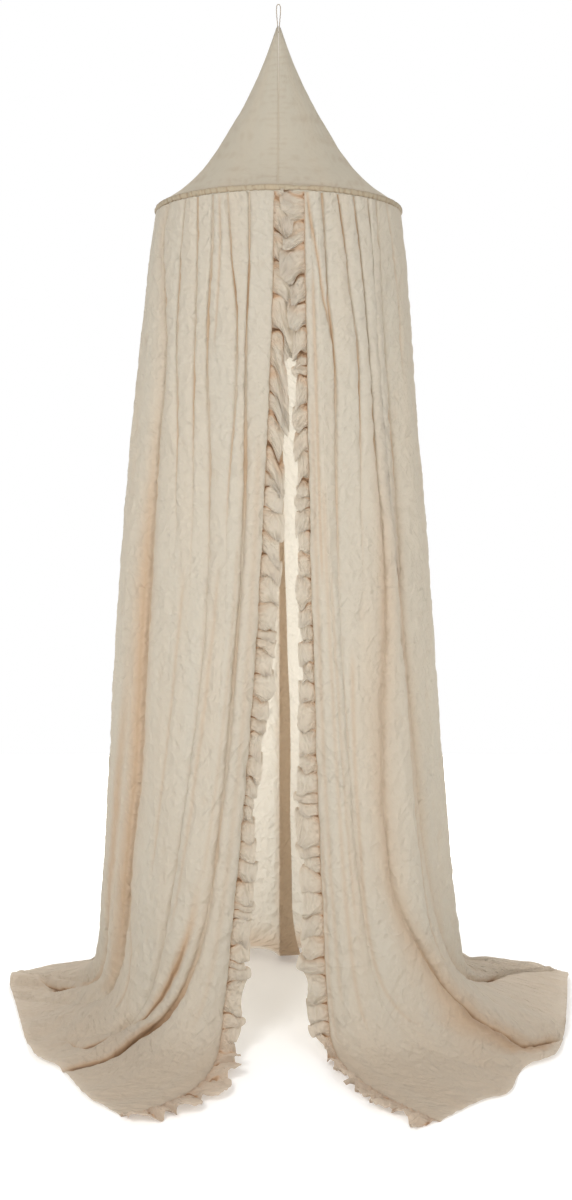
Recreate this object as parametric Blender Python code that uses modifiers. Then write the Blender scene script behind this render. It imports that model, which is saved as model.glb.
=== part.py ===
"""Hanging bed canopy: a cone roof of soft cotton over a 50 cm hoop, two long gathered
curtains that part at the front and pool on the floor, and a ruffle down each front edge.

Metres, +Z up, the opening faces -Y. The origin is the top of the hanging loop's eye.
Heights below are above the floor that the curtains pool on.
"""

import bmesh
import bpy
import numpy as np
from mathutils import Vector

# Overall sizes
HANG_HEIGHT = 2.000  # the eye of the loop above the floor
CLOTH = 0.0016  # thickness of every sheet of cloth
GAP = 0.0003  # between pieces that are sewn together
SEAM_EDGE = 0.0007  # the back seam's edge from the middle, half the gap and the edge's slant
FLOOR_LIFT = 0.0013  # middle of the lowest cloth above the floor

# Hoop and the gathered band that covers it
HOOP_HEIGHT = 1.580
HOOP_RADIUS = 0.2442
HOOP_WIRE = 0.0025
BAND_RADIUS = 0.0050  # middle of the band's cloth, around the wire
BAND_WRAP = 130.0  # degrees that the band reaches above and below its outermost line
BAND_ROWS = 6
BAND_GATHERS = 38
BAND_GATHER_DEPTH = 0.0004

# Roof: radius at each drop below the apex
APEX_HEIGHT = 1.953
ROOF_DROP = (0.000, 0.0544, 0.0968, 0.163, 0.210, 0.266, 0.306, 0.332, 0.3673)
ROOF_RADIUS = (0.0042, 0.0232, 0.0403, 0.0726, 0.0998, 0.134, 0.166, 0.1935, 0.2405)
ROOF_ROWS = 15
ROOF_COLUMNS = 21
ROOF_SAG = 0.0025  # how far the cloth dips between the seams, low on the cone

# Hanging loop: a narrow eye of cord whose tail is sewn inside the roof's tip
LOOP_CORD = 0.0010
LOOP_DROP = (0.0010, -0.0005, -0.0045, -0.0150, -0.0290, -0.0400, -0.0520, -0.0570)
LOOP_HALF = (0.0000, 0.0026, 0.0040, 0.0041, 0.0030, 0.0019, 0.0017, 0.0000)

# Curtains
CURTAIN_TOP = 1.5720  # where the cloth leaves the band
MID_HEIGHT = 0.800  # height of the mid columns of the tables below
FLOOR_BEND = 0.050  # softness of the turn from hanging to lying, for the ruffles
GATHER_DROP = 0.055  # folds open out over this drop below the band
GATHER_START = 0.40  # share of a fold's depth right at the band
HANG_ROWS = (0.0, 0.02, 0.05, 0.10, 0.18, 0.28, 0.40, 0.52, 0.64, 0.75, 0.84, 0.91, 0.96, 1.0)
LIE_ROWS = (0.10, 0.22, 0.36, 0.52, 0.68, 0.84, 1.0)

# One row per line down the cloth, from the front edge (share 0) to the back seam (1):
# where it leaves the hoop (degrees from the front), passes mid height, meets the floor,
# lies half way along the floor and ends at the hem. X is away from the opening.
# The last column is how softly it turns onto the floor.
LINE_COLUMNS = "share hoop mid_x mid_y foot_x foot_y run_x run_y hem_x hem_y bend"
LEFT_LINES = (
    (0.00, 1.0, 0.034, -0.270, 0.104, -0.268, 0.136, -0.462, 0.252, -0.580, 0.050),
    (0.06, 6.5, 0.052, -0.276, 0.142, -0.280, 0.222, -0.415, 0.315, -0.512, 0.055),
    (0.12, 12.2, 0.069, -0.275, 0.178, -0.270, 0.283, -0.326, 0.377, -0.392, 0.060),
    (0.19, 23.0, 0.095, -0.272, 0.212, -0.250, 0.315, -0.287, 0.430, -0.340, 0.060),
    (0.25, 29.3, 0.137, -0.255, 0.238, -0.222, 0.330, -0.248, 0.465, -0.250, 0.060),
    (0.33, 44.0, 0.190, -0.220, 0.275, -0.165, 0.390, -0.165, 0.505, -0.110, 0.055),
    (0.40, 56.8, 0.240, -0.180, 0.305, -0.090, 0.415, -0.060, 0.530, -0.020, 0.050),
    (0.46, 72.0, 0.290, -0.105, 0.335, -0.020, 0.428, 0.015, 0.552, 0.055, 0.045),
    (0.51, 88.0, 0.306, 0.000, 0.347, 0.040, 0.430, 0.060, 0.550, 0.110, 0.040),
    (0.56, 102.0, 0.302, 0.070, 0.350, 0.090, 0.425, 0.110, 0.505, 0.145, 0.035),
    (0.61, 114.0, 0.285, 0.125, 0.342, 0.140, 0.385, 0.180, 0.412, 0.225, 0.030),
    (0.70, 130.0, 0.235, 0.190, 0.290, 0.195, 0.325, 0.280, 0.345, 0.370, 0.030),
    (0.80, 147.0, 0.160, 0.235, 0.200, 0.222, 0.225, 0.340, 0.245, 0.470, 0.030),
    (0.90, 164.0, 0.080, 0.262, 0.095, 0.205, 0.110, 0.360, 0.125, 0.530, 0.030),
    (1.00, 180.0, 0.000, 0.270, 0.000, 0.185, 0.000, 0.370, 0.000, 0.550, 0.030),
)
RIGHT_LINES = (
    (0.00, 11.1, 0.061, -0.270, 0.090, -0.278, 0.144, -0.440, 0.262, -0.600, 0.045),
    (0.07, 14.5, 0.083, -0.278, 0.135, -0.288, 0.215, -0.425, 0.340, -0.522, 0.050),
    (0.12, 17.0, 0.097, -0.278, 0.160, -0.286, 0.262, -0.395, 0.392, -0.486, 0.060),
    (0.17, 19.3, 0.109, -0.275, 0.182, -0.278, 0.305, -0.352, 0.430, -0.386, 0.070),
    (0.22, 26.8, 0.150, -0.260, 0.222, -0.255, 0.362, -0.315, 0.492, -0.335, 0.080),
    (0.28, 35.0, 0.200, -0.232, 0.268, -0.205, 0.412, -0.258, 0.528, -0.245, 0.090),
    (0.34, 43.0, 0.220, -0.205, 0.305, -0.130, 0.448, -0.120, 0.562, -0.100, 0.075),
    (0.41, 49.0, 0.234, -0.185, 0.345, -0.020, 0.458, 0.015, 0.592, 0.050, 0.055),
    (0.48, 70.0, 0.280, -0.100, 0.362, 0.035, 0.458, 0.080, 0.604, 0.130, 0.045),
    (0.53, 86.0, 0.293, -0.010, 0.364, 0.080, 0.448, 0.125, 0.570, 0.180, 0.040),
    (0.58, 100.0, 0.290, 0.065, 0.355, 0.120, 0.412, 0.165, 0.500, 0.200, 0.035),
    (0.63, 113.0, 0.275, 0.125, 0.338, 0.155, 0.375, 0.200, 0.415, 0.245, 0.030),
    (0.71, 130.0, 0.230, 0.190, 0.290, 0.195, 0.325, 0.290, 0.350, 0.385, 0.030),
    (0.80, 147.0, 0.160, 0.235, 0.205, 0.222, 0.225, 0.345, 0.245, 0.480, 0.030),
    (0.90, 164.0, 0.080, 0.262, 0.095, 0.205, 0.110, 0.360, 0.125, 0.530, 0.030),
    (1.00, 180.0, 0.000, 0.270, 0.000, 0.185, 0.000, 0.370, 0.000, 0.550, 0.030),
)

# One row per fold: the shares of cloth it rises between, and how far it stands out
# near the hoop, at mid height, at the floor and at the hem.
FOLD_COLUMNS = "start end top mid foot hem"
LEFT_FOLDS = (
    (0.00, 0.12, 0.006, 0.013, 0.016, 0.009),
    (0.12, 0.19, 0.010, 0.007, 0.002, 0.000),
    (0.12, 0.25, 0.000, 0.012, 0.028, 0.014),
    (0.19, 0.25, 0.010, 0.005, 0.000, 0.000),
    (0.25, 0.29, 0.008, 0.004, 0.000, 0.000),
    (0.25, 0.40, 0.000, 0.014, 0.024, 0.014),
    (0.29, 0.34, 0.010, 0.004, 0.000, 0.000),
    (0.34, 0.40, 0.009, 0.005, 0.000, 0.000),
    (0.40, 0.51, 0.010, 0.021, 0.016, 0.009),
    (0.51, 0.61, 0.012, 0.016, 0.042, 0.018),
    (0.61, 0.70, 0.012, 0.017, 0.018, 0.008),
    (0.70, 0.80, 0.010, 0.020, 0.016, 0.010),
    (0.80, 0.90, 0.013, 0.014, 0.018, 0.007),
    (0.90, 1.00, 0.010, 0.018, 0.014, 0.010),
)
RIGHT_FOLDS = (
    (0.00, 0.17, 0.005, 0.012, 0.015, 0.011),
    (0.07, 0.17, 0.008, 0.005, 0.000, 0.000),
    (0.17, 0.22, 0.011, 0.004, 0.000, 0.000),
    (0.17, 0.28, 0.000, 0.015, 0.024, 0.013),
    (0.22, 0.28, 0.011, 0.005, 0.000, 0.000),
    (0.28, 0.34, 0.011, 0.008, 0.000, 0.000),
    (0.28, 0.41, 0.000, 0.010, 0.032, 0.013),
    (0.34, 0.41, 0.009, 0.005, 0.000, 0.000),
    (0.41, 0.53, 0.009, 0.017, 0.036, 0.015),
    (0.53, 0.63, 0.011, 0.019, 0.020, 0.009),
    (0.63, 0.71, 0.011, 0.015, 0.016, 0.007),
    (0.71, 0.80, 0.012, 0.019, 0.016, 0.010),
    (0.80, 0.90, 0.010, 0.015, 0.018, 0.007),
    (0.90, 1.00, 0.012, 0.017, 0.014, 0.010),
)
STEPS_PER_FOLD = 4
CREASE_SHARP = 0.6  # 0 for round creases, 1 for sharp ones
SHARE_STEP = 0.004  # step to either side that finds which way the cloth faces

# Ruffles: one row per height down the front edge (rows of the curtain, 1 = floor, 2 = hem)
RUFFLE_SEAM = 0.0012  # between the curtain's edge and the ruffle, middle to middle
RUFFLE_COLUMNS = "row left_width right_width left_tilt right_tilt"
RUFFLE_ROWS = (
    (0.00, 0.045, 0.044, 16.0, 12.0),
    (0.12, 0.036, 0.036, 16.0, 12.0),
    (0.30, 0.034, 0.028, 6.0, 6.0),
    (0.55, 0.032, 0.034, 0.0, 0.0),
    (0.75, 0.030, 0.044, 0.0, 0.0),
    (1.00, 0.036, 0.040, 0.0, 0.0),
    (1.60, 0.038, 0.034, 0.0, 0.0),
    (2.00, 0.028, 0.026, 0.0, 0.0),
)
RUFFLE_LOBE = 0.043  # length of edge that one gathered wave takes
RUFFLE_WAVE = 0.0065  # height of a wave at the free edge
RUFFLE_DROOP = 0.007  # how far the free edge hangs lower than its seam
RUFFLE_UNEVEN = 0.22  # share by which the waves differ from one another
RUFFLE_BEATS = (0.37, 0.149)  # the unevenness comes and goes this often for each wave
RUFFLE_RISE = 1.3  # power by which a wave grows from the seam to the free edge
RUFFLE_STEP = 0.03  # rows to either side that find the direction of the seam
RUFFLE_PATH_STEPS = 800
STEPS_PER_LOBE = 4
RUFFLE_ACROSS = (0.0, 0.45, 1.0)

COTTON = (0.58, 0.47, 0.33, 1.0)
COTTON_PALE = (0.62, 0.51, 0.37, 1.0)
STEEL = (0.55, 0.55, 0.56, 1.0)


# Tables and curves


def column(rows, columns, name):
    """One named column of a table as an array."""
    return np.array([row[columns.split().index(name)] for row in rows], dtype=float)


def smooth(x, xs, ys):
    """A curve through the points (xs, ys) with no sudden turns, read at x."""
    xs, ys = np.asarray(xs, dtype=float), np.asarray(ys, dtype=float)
    slopes = np.gradient(ys, xs)
    i = np.clip(np.searchsorted(xs, x, side="right") - 1, 0, len(xs) - 2)
    width = xs[i + 1] - xs[i]
    t = np.clip((x - xs[i]) / width, 0.0, 1.0)
    rise = ys[i + 1] - ys[i]
    bend_in = slopes[i] * width - rise
    bend_out = rise - slopes[i + 1] * width
    return ys[i] + t * rise + t * (1 - t) * ((1 - t) * bend_in + t * bend_out)


def eased(t):
    """0 to 1 with a level start and end."""
    t = np.clip(t, 0.0, 1.0)
    return t * t * (3 - 2 * t)


# Curtain surface


def hanging(lines, share, height):
    """Plan position of the cloth at a height: hoop, mid height and foot joined smoothly."""
    angle = np.radians(smooth(share, column(lines, LINE_COLUMNS, "share"),
                              column(lines, LINE_COLUMNS, "hoop")))
    h = height / CURTAIN_TOP
    mid = MID_HEIGHT / CURTAIN_TOP
    at_foot = (h - mid) * (h - 1) / mid
    at_mid = h * (h - 1) / (mid * (mid - 1))
    at_hoop = h * (h - mid) / (1 - mid)
    top = (HOOP_RADIUS * np.sin(angle), -HOOP_RADIUS * np.cos(angle))
    return [
        at_hoop * top[axis]
        + at_mid * line_value(lines, share, "mid_" + name)
        + at_foot * line_value(lines, share, "foot_" + name)
        for axis, name in enumerate("xy")
    ]


def line_value(lines, share, name):
    return smooth(share, column(lines, LINE_COLUMNS, "share"), column(lines, LINE_COLUMNS, name))


def lying(lines, share, t):
    """Plan shift from the foot, a share t along the floor towards the hem."""
    shift = []
    for axis in "xy":
        foot = line_value(lines, share, "foot_" + axis)
        run = line_value(lines, share, "run_" + axis) - foot
        hem = line_value(lines, share, "hem_" + axis) - foot
        shift.append(t * (4 * run - hem) + t * t * (2 * hem - 4 * run))
    return shift


def lying_length(lines, share):
    """Length of cloth on the floor, taken as two straight halves."""
    half = lying(lines, share, 0.5)
    end = lying(lines, share, 1.0)
    return np.hypot(*half) + np.hypot(end[0] - half[0], end[1] - half[1])


def fold_height(folds, share, height, t):
    """How far the cloth stands out from its creases, a share t along the floor."""
    total = np.zeros(np.broadcast(share, height).shape)
    fall = np.clip(1 - height / CURTAIN_TOP, 0, 1)
    mid = 1 - MID_HEIGHT / CURTAIN_TOP
    for values in folds:
        fold = dict(zip(FOLD_COLUMNS.split(), values))
        across = np.clip((share - fold["start"]) / (fold["end"] - fold["start"]), 0, 1)
        sharp = np.sin(np.pi * across)
        bump = CREASE_SHARP * sharp + (1 - CREASE_SHARP) * sharp ** 2
        deep = fold["top"] + (fold["mid"] - fold["top"]) * eased(fall / mid)
        deep = deep + (fold["foot"] - fold["mid"]) * eased((fall - mid) / (1 - mid))
        deep = deep + (fold["hem"] - fold["foot"]) * eased(t)
        total = total + bump * deep
    drop = CURTAIN_TOP - height
    return total * (1 - (1 - GATHER_START) * np.exp(-drop / GATHER_DROP))


def curtain_point(lines, folds, share, row):
    """Points of the curtain: share across the cloth, row 0 at the band to 1 at the floor
    to 2 at the hem. Arrays in, three arrays out, x away from the opening."""
    length = lying_length(lines, share)
    along = np.where(row < 1, (row - 1) * CURTAIN_TOP, (row - 1) * length)
    bend = line_value(lines, share, "bend")
    height = bend * np.logaddexp(0, -along / bend)
    height = np.minimum(height, CURTAIN_TOP)
    t = bend * np.logaddexp(0, along / bend) / length
    t = np.minimum(t, 1.0)
    plan = [a + b for a, b in zip(hanging(lines, share, height), lying(lines, share, t))]
    ahead = [a + b for a, b in zip(hanging(lines, share + SHARE_STEP, height),
                                   lying(lines, share + SHARE_STEP, t))]
    behind = [a + b for a, b in zip(hanging(lines, share - SHARE_STEP, height),
                                    lying(lines, share - SHARE_STEP, t))]
    across = [a - b for a, b in zip(ahead, behind)]
    size = np.maximum(np.hypot(*across), 1e-9)
    flat = 1 / (1 + np.exp(-along / bend))
    out = (across[1] / size * (1 - flat), -across[0] / size * (1 - flat), flat)
    norm = np.sqrt(out[0] ** 2 + out[1] ** 2 + out[2] ** 2)
    deep = fold_height(folds, share, height, t) / norm
    return plan[0] + out[0] * deep, plan[1] + out[1] * deep, height + FLOOR_LIFT + out[2] * deep


def curtain_columns(folds):
    """Shares of cloth for the mesh: a fixed number of steps over every fold."""
    edges = sorted({fold[0] for fold in folds} | {fold[1] for fold in folds})
    shares = [edges[0]]
    for start, end in zip(edges, edges[1:]):
        shares += [start + (end - start) * k / STEPS_PER_FOLD for k in range(1, STEPS_PER_FOLD + 1)]
    return np.array(shares)


def curtain_rows():
    return np.array(HANG_ROWS + tuple(1 + row for row in LIE_ROWS))


# Building in Blender


def grid_object(name, points, material, collection, closed=False):
    """A sheet of cloth from an array of points, rows by columns, thickened both ways."""
    rows, columns = points.shape[:2]
    mesh = bpy.data.meshes.new(name)
    shape = bmesh.new()
    bmesh.ops.create_grid(shape, x_segments=columns - 1, y_segments=rows - 1, size=0.5)
    shape.verts.ensure_lookup_table()
    for i, vert in enumerate(shape.verts):
        vert.co = Vector(points[i // columns, i % columns])
    if closed:
        bmesh.ops.remove_doubles(shape, verts=shape.verts, dist=1e-7)
    shape.to_mesh(mesh)
    shape.free()
    obj = bpy.data.objects.new(name, mesh)
    collection.objects.link(obj)
    mesh.materials.append(material)
    thick = obj.modifiers.new("cloth", "SOLIDIFY")
    thick.thickness = CLOTH
    thick.offset = 0
    return obj


def above_floor(obj, floor):
    """Heights of this piece are measured from the floor."""
    obj.parent = floor


def make_material(name, colour, roughness, metallic=0.0):
    material = bpy.data.materials.new(name)
    material.use_nodes = True
    shader = material.node_tree.nodes["Principled BSDF"]
    shader.inputs["Base Color"].default_value = colour
    shader.inputs["Roughness"].default_value = roughness
    shader.inputs["Metallic"].default_value = metallic
    return material


def make_curtain(name, side, lines, folds, material, collection, floor):
    """One curtain. side is -1 for the left one and +1 for the right one."""
    share, row = np.meshgrid(curtain_columns(folds), curtain_rows())
    x, y, z = curtain_point(lines, folds, share, row)
    x = side * np.maximum(x, SEAM_EDGE)
    above_floor(grid_object(name, np.stack([x, y, z], axis=-1), material, collection), floor)


def make_roof(name, side, material, collection, floor):
    """Half of the cone, between the front seam and the back seam."""
    turn, fall = np.meshgrid(np.linspace(0, 1, ROOF_COLUMNS), np.linspace(0, 1, ROOF_ROWS))
    drop = fall * ROOF_DROP[-1]
    radius = smooth(drop, ROOF_DROP, ROOF_RADIUS)
    sag = ROOF_SAG * np.sin(np.pi * fall) * (1 - np.cos(4 * np.pi * turn)) / 2
    angle = np.pi * turn
    x = (radius - sag) * np.sin(angle) + GAP
    y = -(radius - sag) * np.cos(angle)
    points = np.stack([side * x, y, APEX_HEIGHT - drop], axis=-1)
    above_floor(grid_object(name, points, material, collection), floor)


def make_band(material, collection, floor):
    """Gathered band of cloth folded over the hoop from above and below, open inwards."""
    turns = np.linspace(0, 2 * np.pi, 2 * BAND_GATHERS + 1)
    wraps = np.radians(np.linspace(BAND_WRAP, -BAND_WRAP, BAND_ROWS))
    turn, wrap = np.meshgrid(turns, wraps)
    gather = BAND_GATHER_DEPTH * np.cos(BAND_GATHERS * turn)
    radius = HOOP_RADIUS + (BAND_RADIUS + gather) * np.cos(wrap)
    z = HOOP_HEIGHT + (BAND_RADIUS + gather) * np.sin(wrap)
    points = np.stack([radius * np.sin(turn), -radius * np.cos(turn), z], axis=-1)
    above_floor(grid_object("hoop_casing", points, material, collection, closed=True), floor)


def make_hoop(material, collection, floor):
    bpy.ops.mesh.primitive_torus_add(
        major_radius=HOOP_RADIUS, minor_radius=HOOP_WIRE, major_segments=56, minor_segments=6,
        location=(0, 0, HOOP_HEIGHT),
    )
    hoop = bpy.context.object
    hoop.name = "hoop"
    hoop.data.materials.append(material)
    for owner in list(hoop.users_collection):
        owner.objects.unlink(hoop)
    collection.objects.link(hoop)
    above_floor(hoop, floor)


def make_loop(material, collection):
    """Closed eye of cord in the plane of the roof's front."""
    right = list(zip(LOOP_HALF, LOOP_DROP))
    points = right + [(-half, drop) for half, drop in right[-2:0:-1]]
    curve = bpy.data.curves.new("hang_loop", "CURVE")
    curve.dimensions = "3D"
    curve.bevel_depth = LOOP_CORD
    curve.bevel_resolution = 2
    spline = curve.splines.new("POLY")
    spline.points.add(len(points) - 1)
    for point, (half, drop) in zip(spline.points, points):
        point.co = (half, 0.0, drop, 1.0)
    spline.use_cyclic_u = True
    loop = bpy.data.objects.new("hang_loop", curve)
    curve.materials.append(material)
    collection.objects.link(loop)


def front_edge(side, lines, folds, row):
    """The curtain's front edge as the curtain's own mesh has it, straight between rows."""
    rows = curtain_rows()
    x, y, z = curtain_point(lines, folds, np.zeros(len(rows)), rows)
    return np.stack([side * np.interp(row, rows, x), np.interp(row, rows, y),
                     np.interp(row, rows, z)], axis=-1)


def make_ruffle(name, side, lines, folds, material, collection, floor):
    """Gathered strip along the front edge: flat at its seam, waved at its free edge."""
    fine = np.linspace(0, 2, RUFFLE_PATH_STEPS + 1)
    path = front_edge(side, lines, folds, fine)
    length = np.concatenate([[0], np.cumsum(np.linalg.norm(np.diff(path, axis=0), axis=1))])
    lobes = round(length[-1] / RUFFLE_LOBE)
    along = np.linspace(0, length[-1], lobes * STEPS_PER_LOBE + 1)
    row = np.interp(along, length, fine)
    seam = front_edge(side, lines, folds, row)
    flat = 1 / (1 + np.exp(-(row - 1) * CURTAIN_TOP / FLOOR_BEND))
    up = np.stack([0 * flat, -(1 - flat), flat], axis=-1)
    up /= np.linalg.norm(up, axis=1, keepdims=True)
    ahead = front_edge(side, lines, folds, np.clip(row + RUFFLE_STEP, 0, 2))
    behind = front_edge(side, lines, folds, np.clip(row - RUFFLE_STEP, 0, 2))
    down = (ahead - behind) / np.linalg.norm(ahead - behind, axis=1, keepdims=True)
    out = np.cross(up, down) * -side
    out /= np.linalg.norm(out, axis=1, keepdims=True)
    word = "left" if side < 0 else "right"
    heights = column(RUFFLE_ROWS, RUFFLE_COLUMNS, "row")
    width = smooth(row, heights, column(RUFFLE_ROWS, RUFFLE_COLUMNS, word + "_width"))
    tilt = np.radians(smooth(row, heights, column(RUFFLE_ROWS, RUFFLE_COLUMNS, word + "_tilt")))
    lean = out * np.cos(tilt)[:, None] + side * up * np.sin(tilt)[:, None]
    turns = 2 * np.pi * along / length[-1] * lobes
    beat_a, beat_b = RUFFLE_BEATS
    uneven = 1 + RUFFLE_UNEVEN * np.sin(beat_a * turns + side) * np.cos(beat_b * turns)
    crest = (1 - np.cos(turns)) / 2
    width = width * (1 - RUFFLE_UNEVEN * crest * uneven / 2)
    wave = RUFFLE_WAVE * uneven * crest * (1 + flat)
    droop = RUFFLE_DROOP * uneven * (1 - flat) * np.clip(row / HANG_ROWS[1], 0, 1)
    points = []
    for across in RUFFLE_ACROSS:
        reach = (RUFFLE_SEAM + across * width)[:, None]
        rise = (wave * across ** RUFFLE_RISE - RUFFLE_WAVE * across / 2 * (1 - flat))[:, None]
        points.append(seam + lean * reach + up * rise + down * (droop * across ** 2)[:, None])
    grid = np.stack(points, axis=1)
    grid[..., 2] = np.maximum(grid[..., 2], FLOOR_LIFT)
    above_floor(grid_object(name, grid, material, collection), floor)


def main():
    for obj in list(bpy.data.objects):
        bpy.data.objects.remove(obj)
    canopy = bpy.data.collections.new("bed_canopy")
    bpy.context.scene.collection.children.link(canopy)
    floor = bpy.data.objects.new("floor_level", None)
    floor.location = (0, 0, -HANG_HEIGHT)
    canopy.objects.link(floor)

    cotton = make_material("cotton", COTTON, 0.9)
    pale = make_material("cotton_pale", COTTON_PALE, 0.9)
    steel = make_material("steel_wire", STEEL, 0.4, 1.0)

    make_loop(pale, canopy)
    make_roof("roof_left", -1, cotton, canopy, floor)
    make_roof("roof_right", 1, cotton, canopy, floor)
    make_hoop(steel, canopy, floor)
    make_band(pale, canopy, floor)
    make_curtain("curtain_left", -1, LEFT_LINES, LEFT_FOLDS, cotton, canopy, floor)
    make_curtain("curtain_right", 1, RIGHT_LINES, RIGHT_FOLDS, cotton, canopy, floor)
    make_ruffle("ruffle_left", -1, LEFT_LINES, LEFT_FOLDS, pale, canopy, floor)
    make_ruffle("ruffle_right", 1, RIGHT_LINES, RIGHT_FOLDS, pale, canopy, floor)


if __name__ == "__main__":
    main()
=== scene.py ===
"""Hanging bed canopy of washed cotton: cone roof, hidden hoop, two long curtains, two ruffles.

Each sheet is a surface of two parameters. The curtains follow the same plan as their solids,
with shallower folds, and with the creases, crinkles and finishes that only this script has.
Metres, +Z up, the opening faces -Y, the origin is the top of the hanging loop's eye.
"""

import logging
from dataclasses import dataclass
from enum import Enum

import bpy
import numpy as np
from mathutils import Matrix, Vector


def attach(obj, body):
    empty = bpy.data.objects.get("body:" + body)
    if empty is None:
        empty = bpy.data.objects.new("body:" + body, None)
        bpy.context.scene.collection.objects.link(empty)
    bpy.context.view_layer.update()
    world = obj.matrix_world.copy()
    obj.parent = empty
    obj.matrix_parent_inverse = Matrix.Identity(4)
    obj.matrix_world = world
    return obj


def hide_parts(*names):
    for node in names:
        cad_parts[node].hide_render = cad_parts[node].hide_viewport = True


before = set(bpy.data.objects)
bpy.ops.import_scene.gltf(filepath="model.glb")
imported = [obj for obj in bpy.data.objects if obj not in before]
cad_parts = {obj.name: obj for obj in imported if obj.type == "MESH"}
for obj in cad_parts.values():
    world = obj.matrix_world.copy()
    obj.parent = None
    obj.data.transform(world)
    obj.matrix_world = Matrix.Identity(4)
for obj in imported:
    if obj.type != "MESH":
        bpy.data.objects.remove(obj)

Array = np.ndarray
Colour = tuple[float, float, float]
Triple = tuple[float, float, float]
Pair = tuple[float, float]
Counts = tuple[int, int]
Rows = tuple[tuple[float, ...], ...]
log = logging.getLogger("bed_canopy")

HANG_HEIGHT = 2.000
FLOOR = -HANG_HEIGHT
CLOTH_UV = "cloth"
# Point attribute holding painted shade, 0 to 1: how far each point's colour is darkened as shade in
# troughs, creases, laps and under lips.
HOLLOW_SHADE = "hollow_shade"
NOISE_GAIN = 1.5  # brings gradient noise up to about -1 to 1
WAVE_RATE = 20.0  # phase that the Wave node adds for each unit of length
MIX_COLOURS = (6, 7)  # the Mix node's colour inputs and output share their names with others
MIX_RESULT = 2


class Side(Enum):
    """Which half of the canopy, and the sign of its x."""

    LEFT = -1
    RIGHT = 1


class Slot(Enum):
    """Material slots of the record."""

    COTTON = "cotton"
    TRIM = "cotton_trim"
    STEEL = "steel_wire"


class Held(Enum):
    """How a sheet is held."""

    HUNG = "hung"
    GATHERED = "gathered"
    STRETCHED = "stretched"


# Curves, tables and noise


def smooth(x: Array, xs: Array, ys: Array) -> Array:
    """Cubic curve through the points (xs, ys), its slope at each taken from its neighbours.

    Args:
        x: where to read the curve.
        xs: rising positions of the points.
        ys: heights of the points.

    Returns:
        The curve's height at x.
    """
    xs, ys = np.asarray(xs, dtype=float), np.asarray(ys, dtype=float)
    slopes = np.gradient(ys, xs)
    i = np.clip(np.searchsorted(xs, x, side="right") - 1, 0, len(xs) - 2)
    width = xs[i + 1] - xs[i]
    t = np.clip((x - xs[i]) / width, 0.0, 1.0)
    rise = ys[i + 1] - ys[i]
    bend_in = slopes[i] * width - rise
    bend_out = rise - slopes[i + 1] * width
    return ys[i] + t * rise + t * (1 - t) * ((1 - t) * bend_in + t * bend_out)


def eased(t: Array) -> Array:
    """3t^2 - 2t^3 between 0 and 1, level at both ends."""
    t = np.clip(t, 0.0, 1.0)
    return t * t * (3 - 2 * t)


def unit(vectors: Array) -> Array:
    """Vectors divided by their own length."""
    return vectors / np.maximum(np.linalg.norm(vectors, axis=-1, keepdims=True), 1e-12)


@dataclass(frozen=True)
class Table:
    """A short table with named columns."""

    columns: str
    rows: Rows

    def column(self, name: str) -> Array:
        """One named column."""
        return np.array([row[self.columns.split().index(name)] for row in self.rows], dtype=float)

    def read(self, at: Array, name: str, key: str) -> Array:
        """The smooth curve of column name over column key, read at at."""
        return smooth(at, self.column(key), self.column(name))


def corner_slope(ix: Array, iy: Array, seed: int) -> tuple[Array, Array]:
    """A direction for each lattice corner, from a whole-number scramble of its place.

    Args:
        ix: lattice column.
        iy: lattice row.
        seed: picks another pattern.

    Returns:
        The two parts of a unit vector.
    """
    h = ix.astype(np.uint32) * np.uint32(374761393) + iy.astype(np.uint32) * np.uint32(668265263)
    h = h + np.uint32((seed * 2246822519 + 3266489917) % 2**32)
    h = (h ^ (h >> np.uint32(13))) * np.uint32(1274126177)
    h = h ^ (h >> np.uint32(16))
    angle = h.astype(np.float64) * (2 * np.pi / 2**32)
    return np.cos(angle), np.sin(angle)


def soft_noise(u: Array, v: Array, seed: int) -> Array:
    """Gradient noise, about -1 to 1: four corner slopes, blended by 6t^5 - 15t^4 + 10t^3.

    Args:
        u: first coordinate, one bump to a unit.
        v: second coordinate.
        seed: picks another pattern.

    Returns:
        The noise at each point.
    """
    u, v = np.broadcast_arrays(np.asarray(u, dtype=float), np.asarray(v, dtype=float))
    iu, iv = np.floor(u).astype(np.int64), np.floor(v).astype(np.int64)
    fu, fv = u - iu, v - iv
    total = np.zeros(u.shape)
    blend_u = fu**3 * (fu * (fu * 6 - 15) + 10)
    blend_v = fv**3 * (fv * (fv * 6 - 15) + 10)
    for du in (0, 1):
        for dv in (0, 1):
            gx, gy = corner_slope(iu + du, iv + dv, seed)
            weight = (blend_u if du else 1 - blend_u) * (blend_v if dv else 1 - blend_v)
            total += weight * (gx * (fu - du) + gy * (fv - dv))
    return total * NOISE_GAIN


def ridges(u: Array, v: Array, seed: int) -> Array:
    """Sharp creases between soft hollows: 1 less three times the size of soft_noise."""
    return 1 - 3 * np.abs(soft_noise(u, v, seed))


@dataclass(frozen=True)
class Swell:
    """One layer of relief over the cloth: soft noise, or sharp ridges, longer one way."""

    depth: float
    width: float
    length: float
    lean: float = 0.0
    sway: float = 0.0
    sharp: bool = False

    def height(self, across: Array, along: Array, seed: int) -> Array:
        """Depth times the noise, its two ways slanted by lean and by sway.

        Args:
            across: place across the cloth.
            along: place down the cloth.
            seed: picks another pattern.

        Returns:
            The relief at each point.
        """
        pattern = ridges if self.sharp else soft_noise
        return self.depth * pattern((across + self.lean * along) / self.width,
                                    (along + self.sway * across) / self.length, seed)


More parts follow.
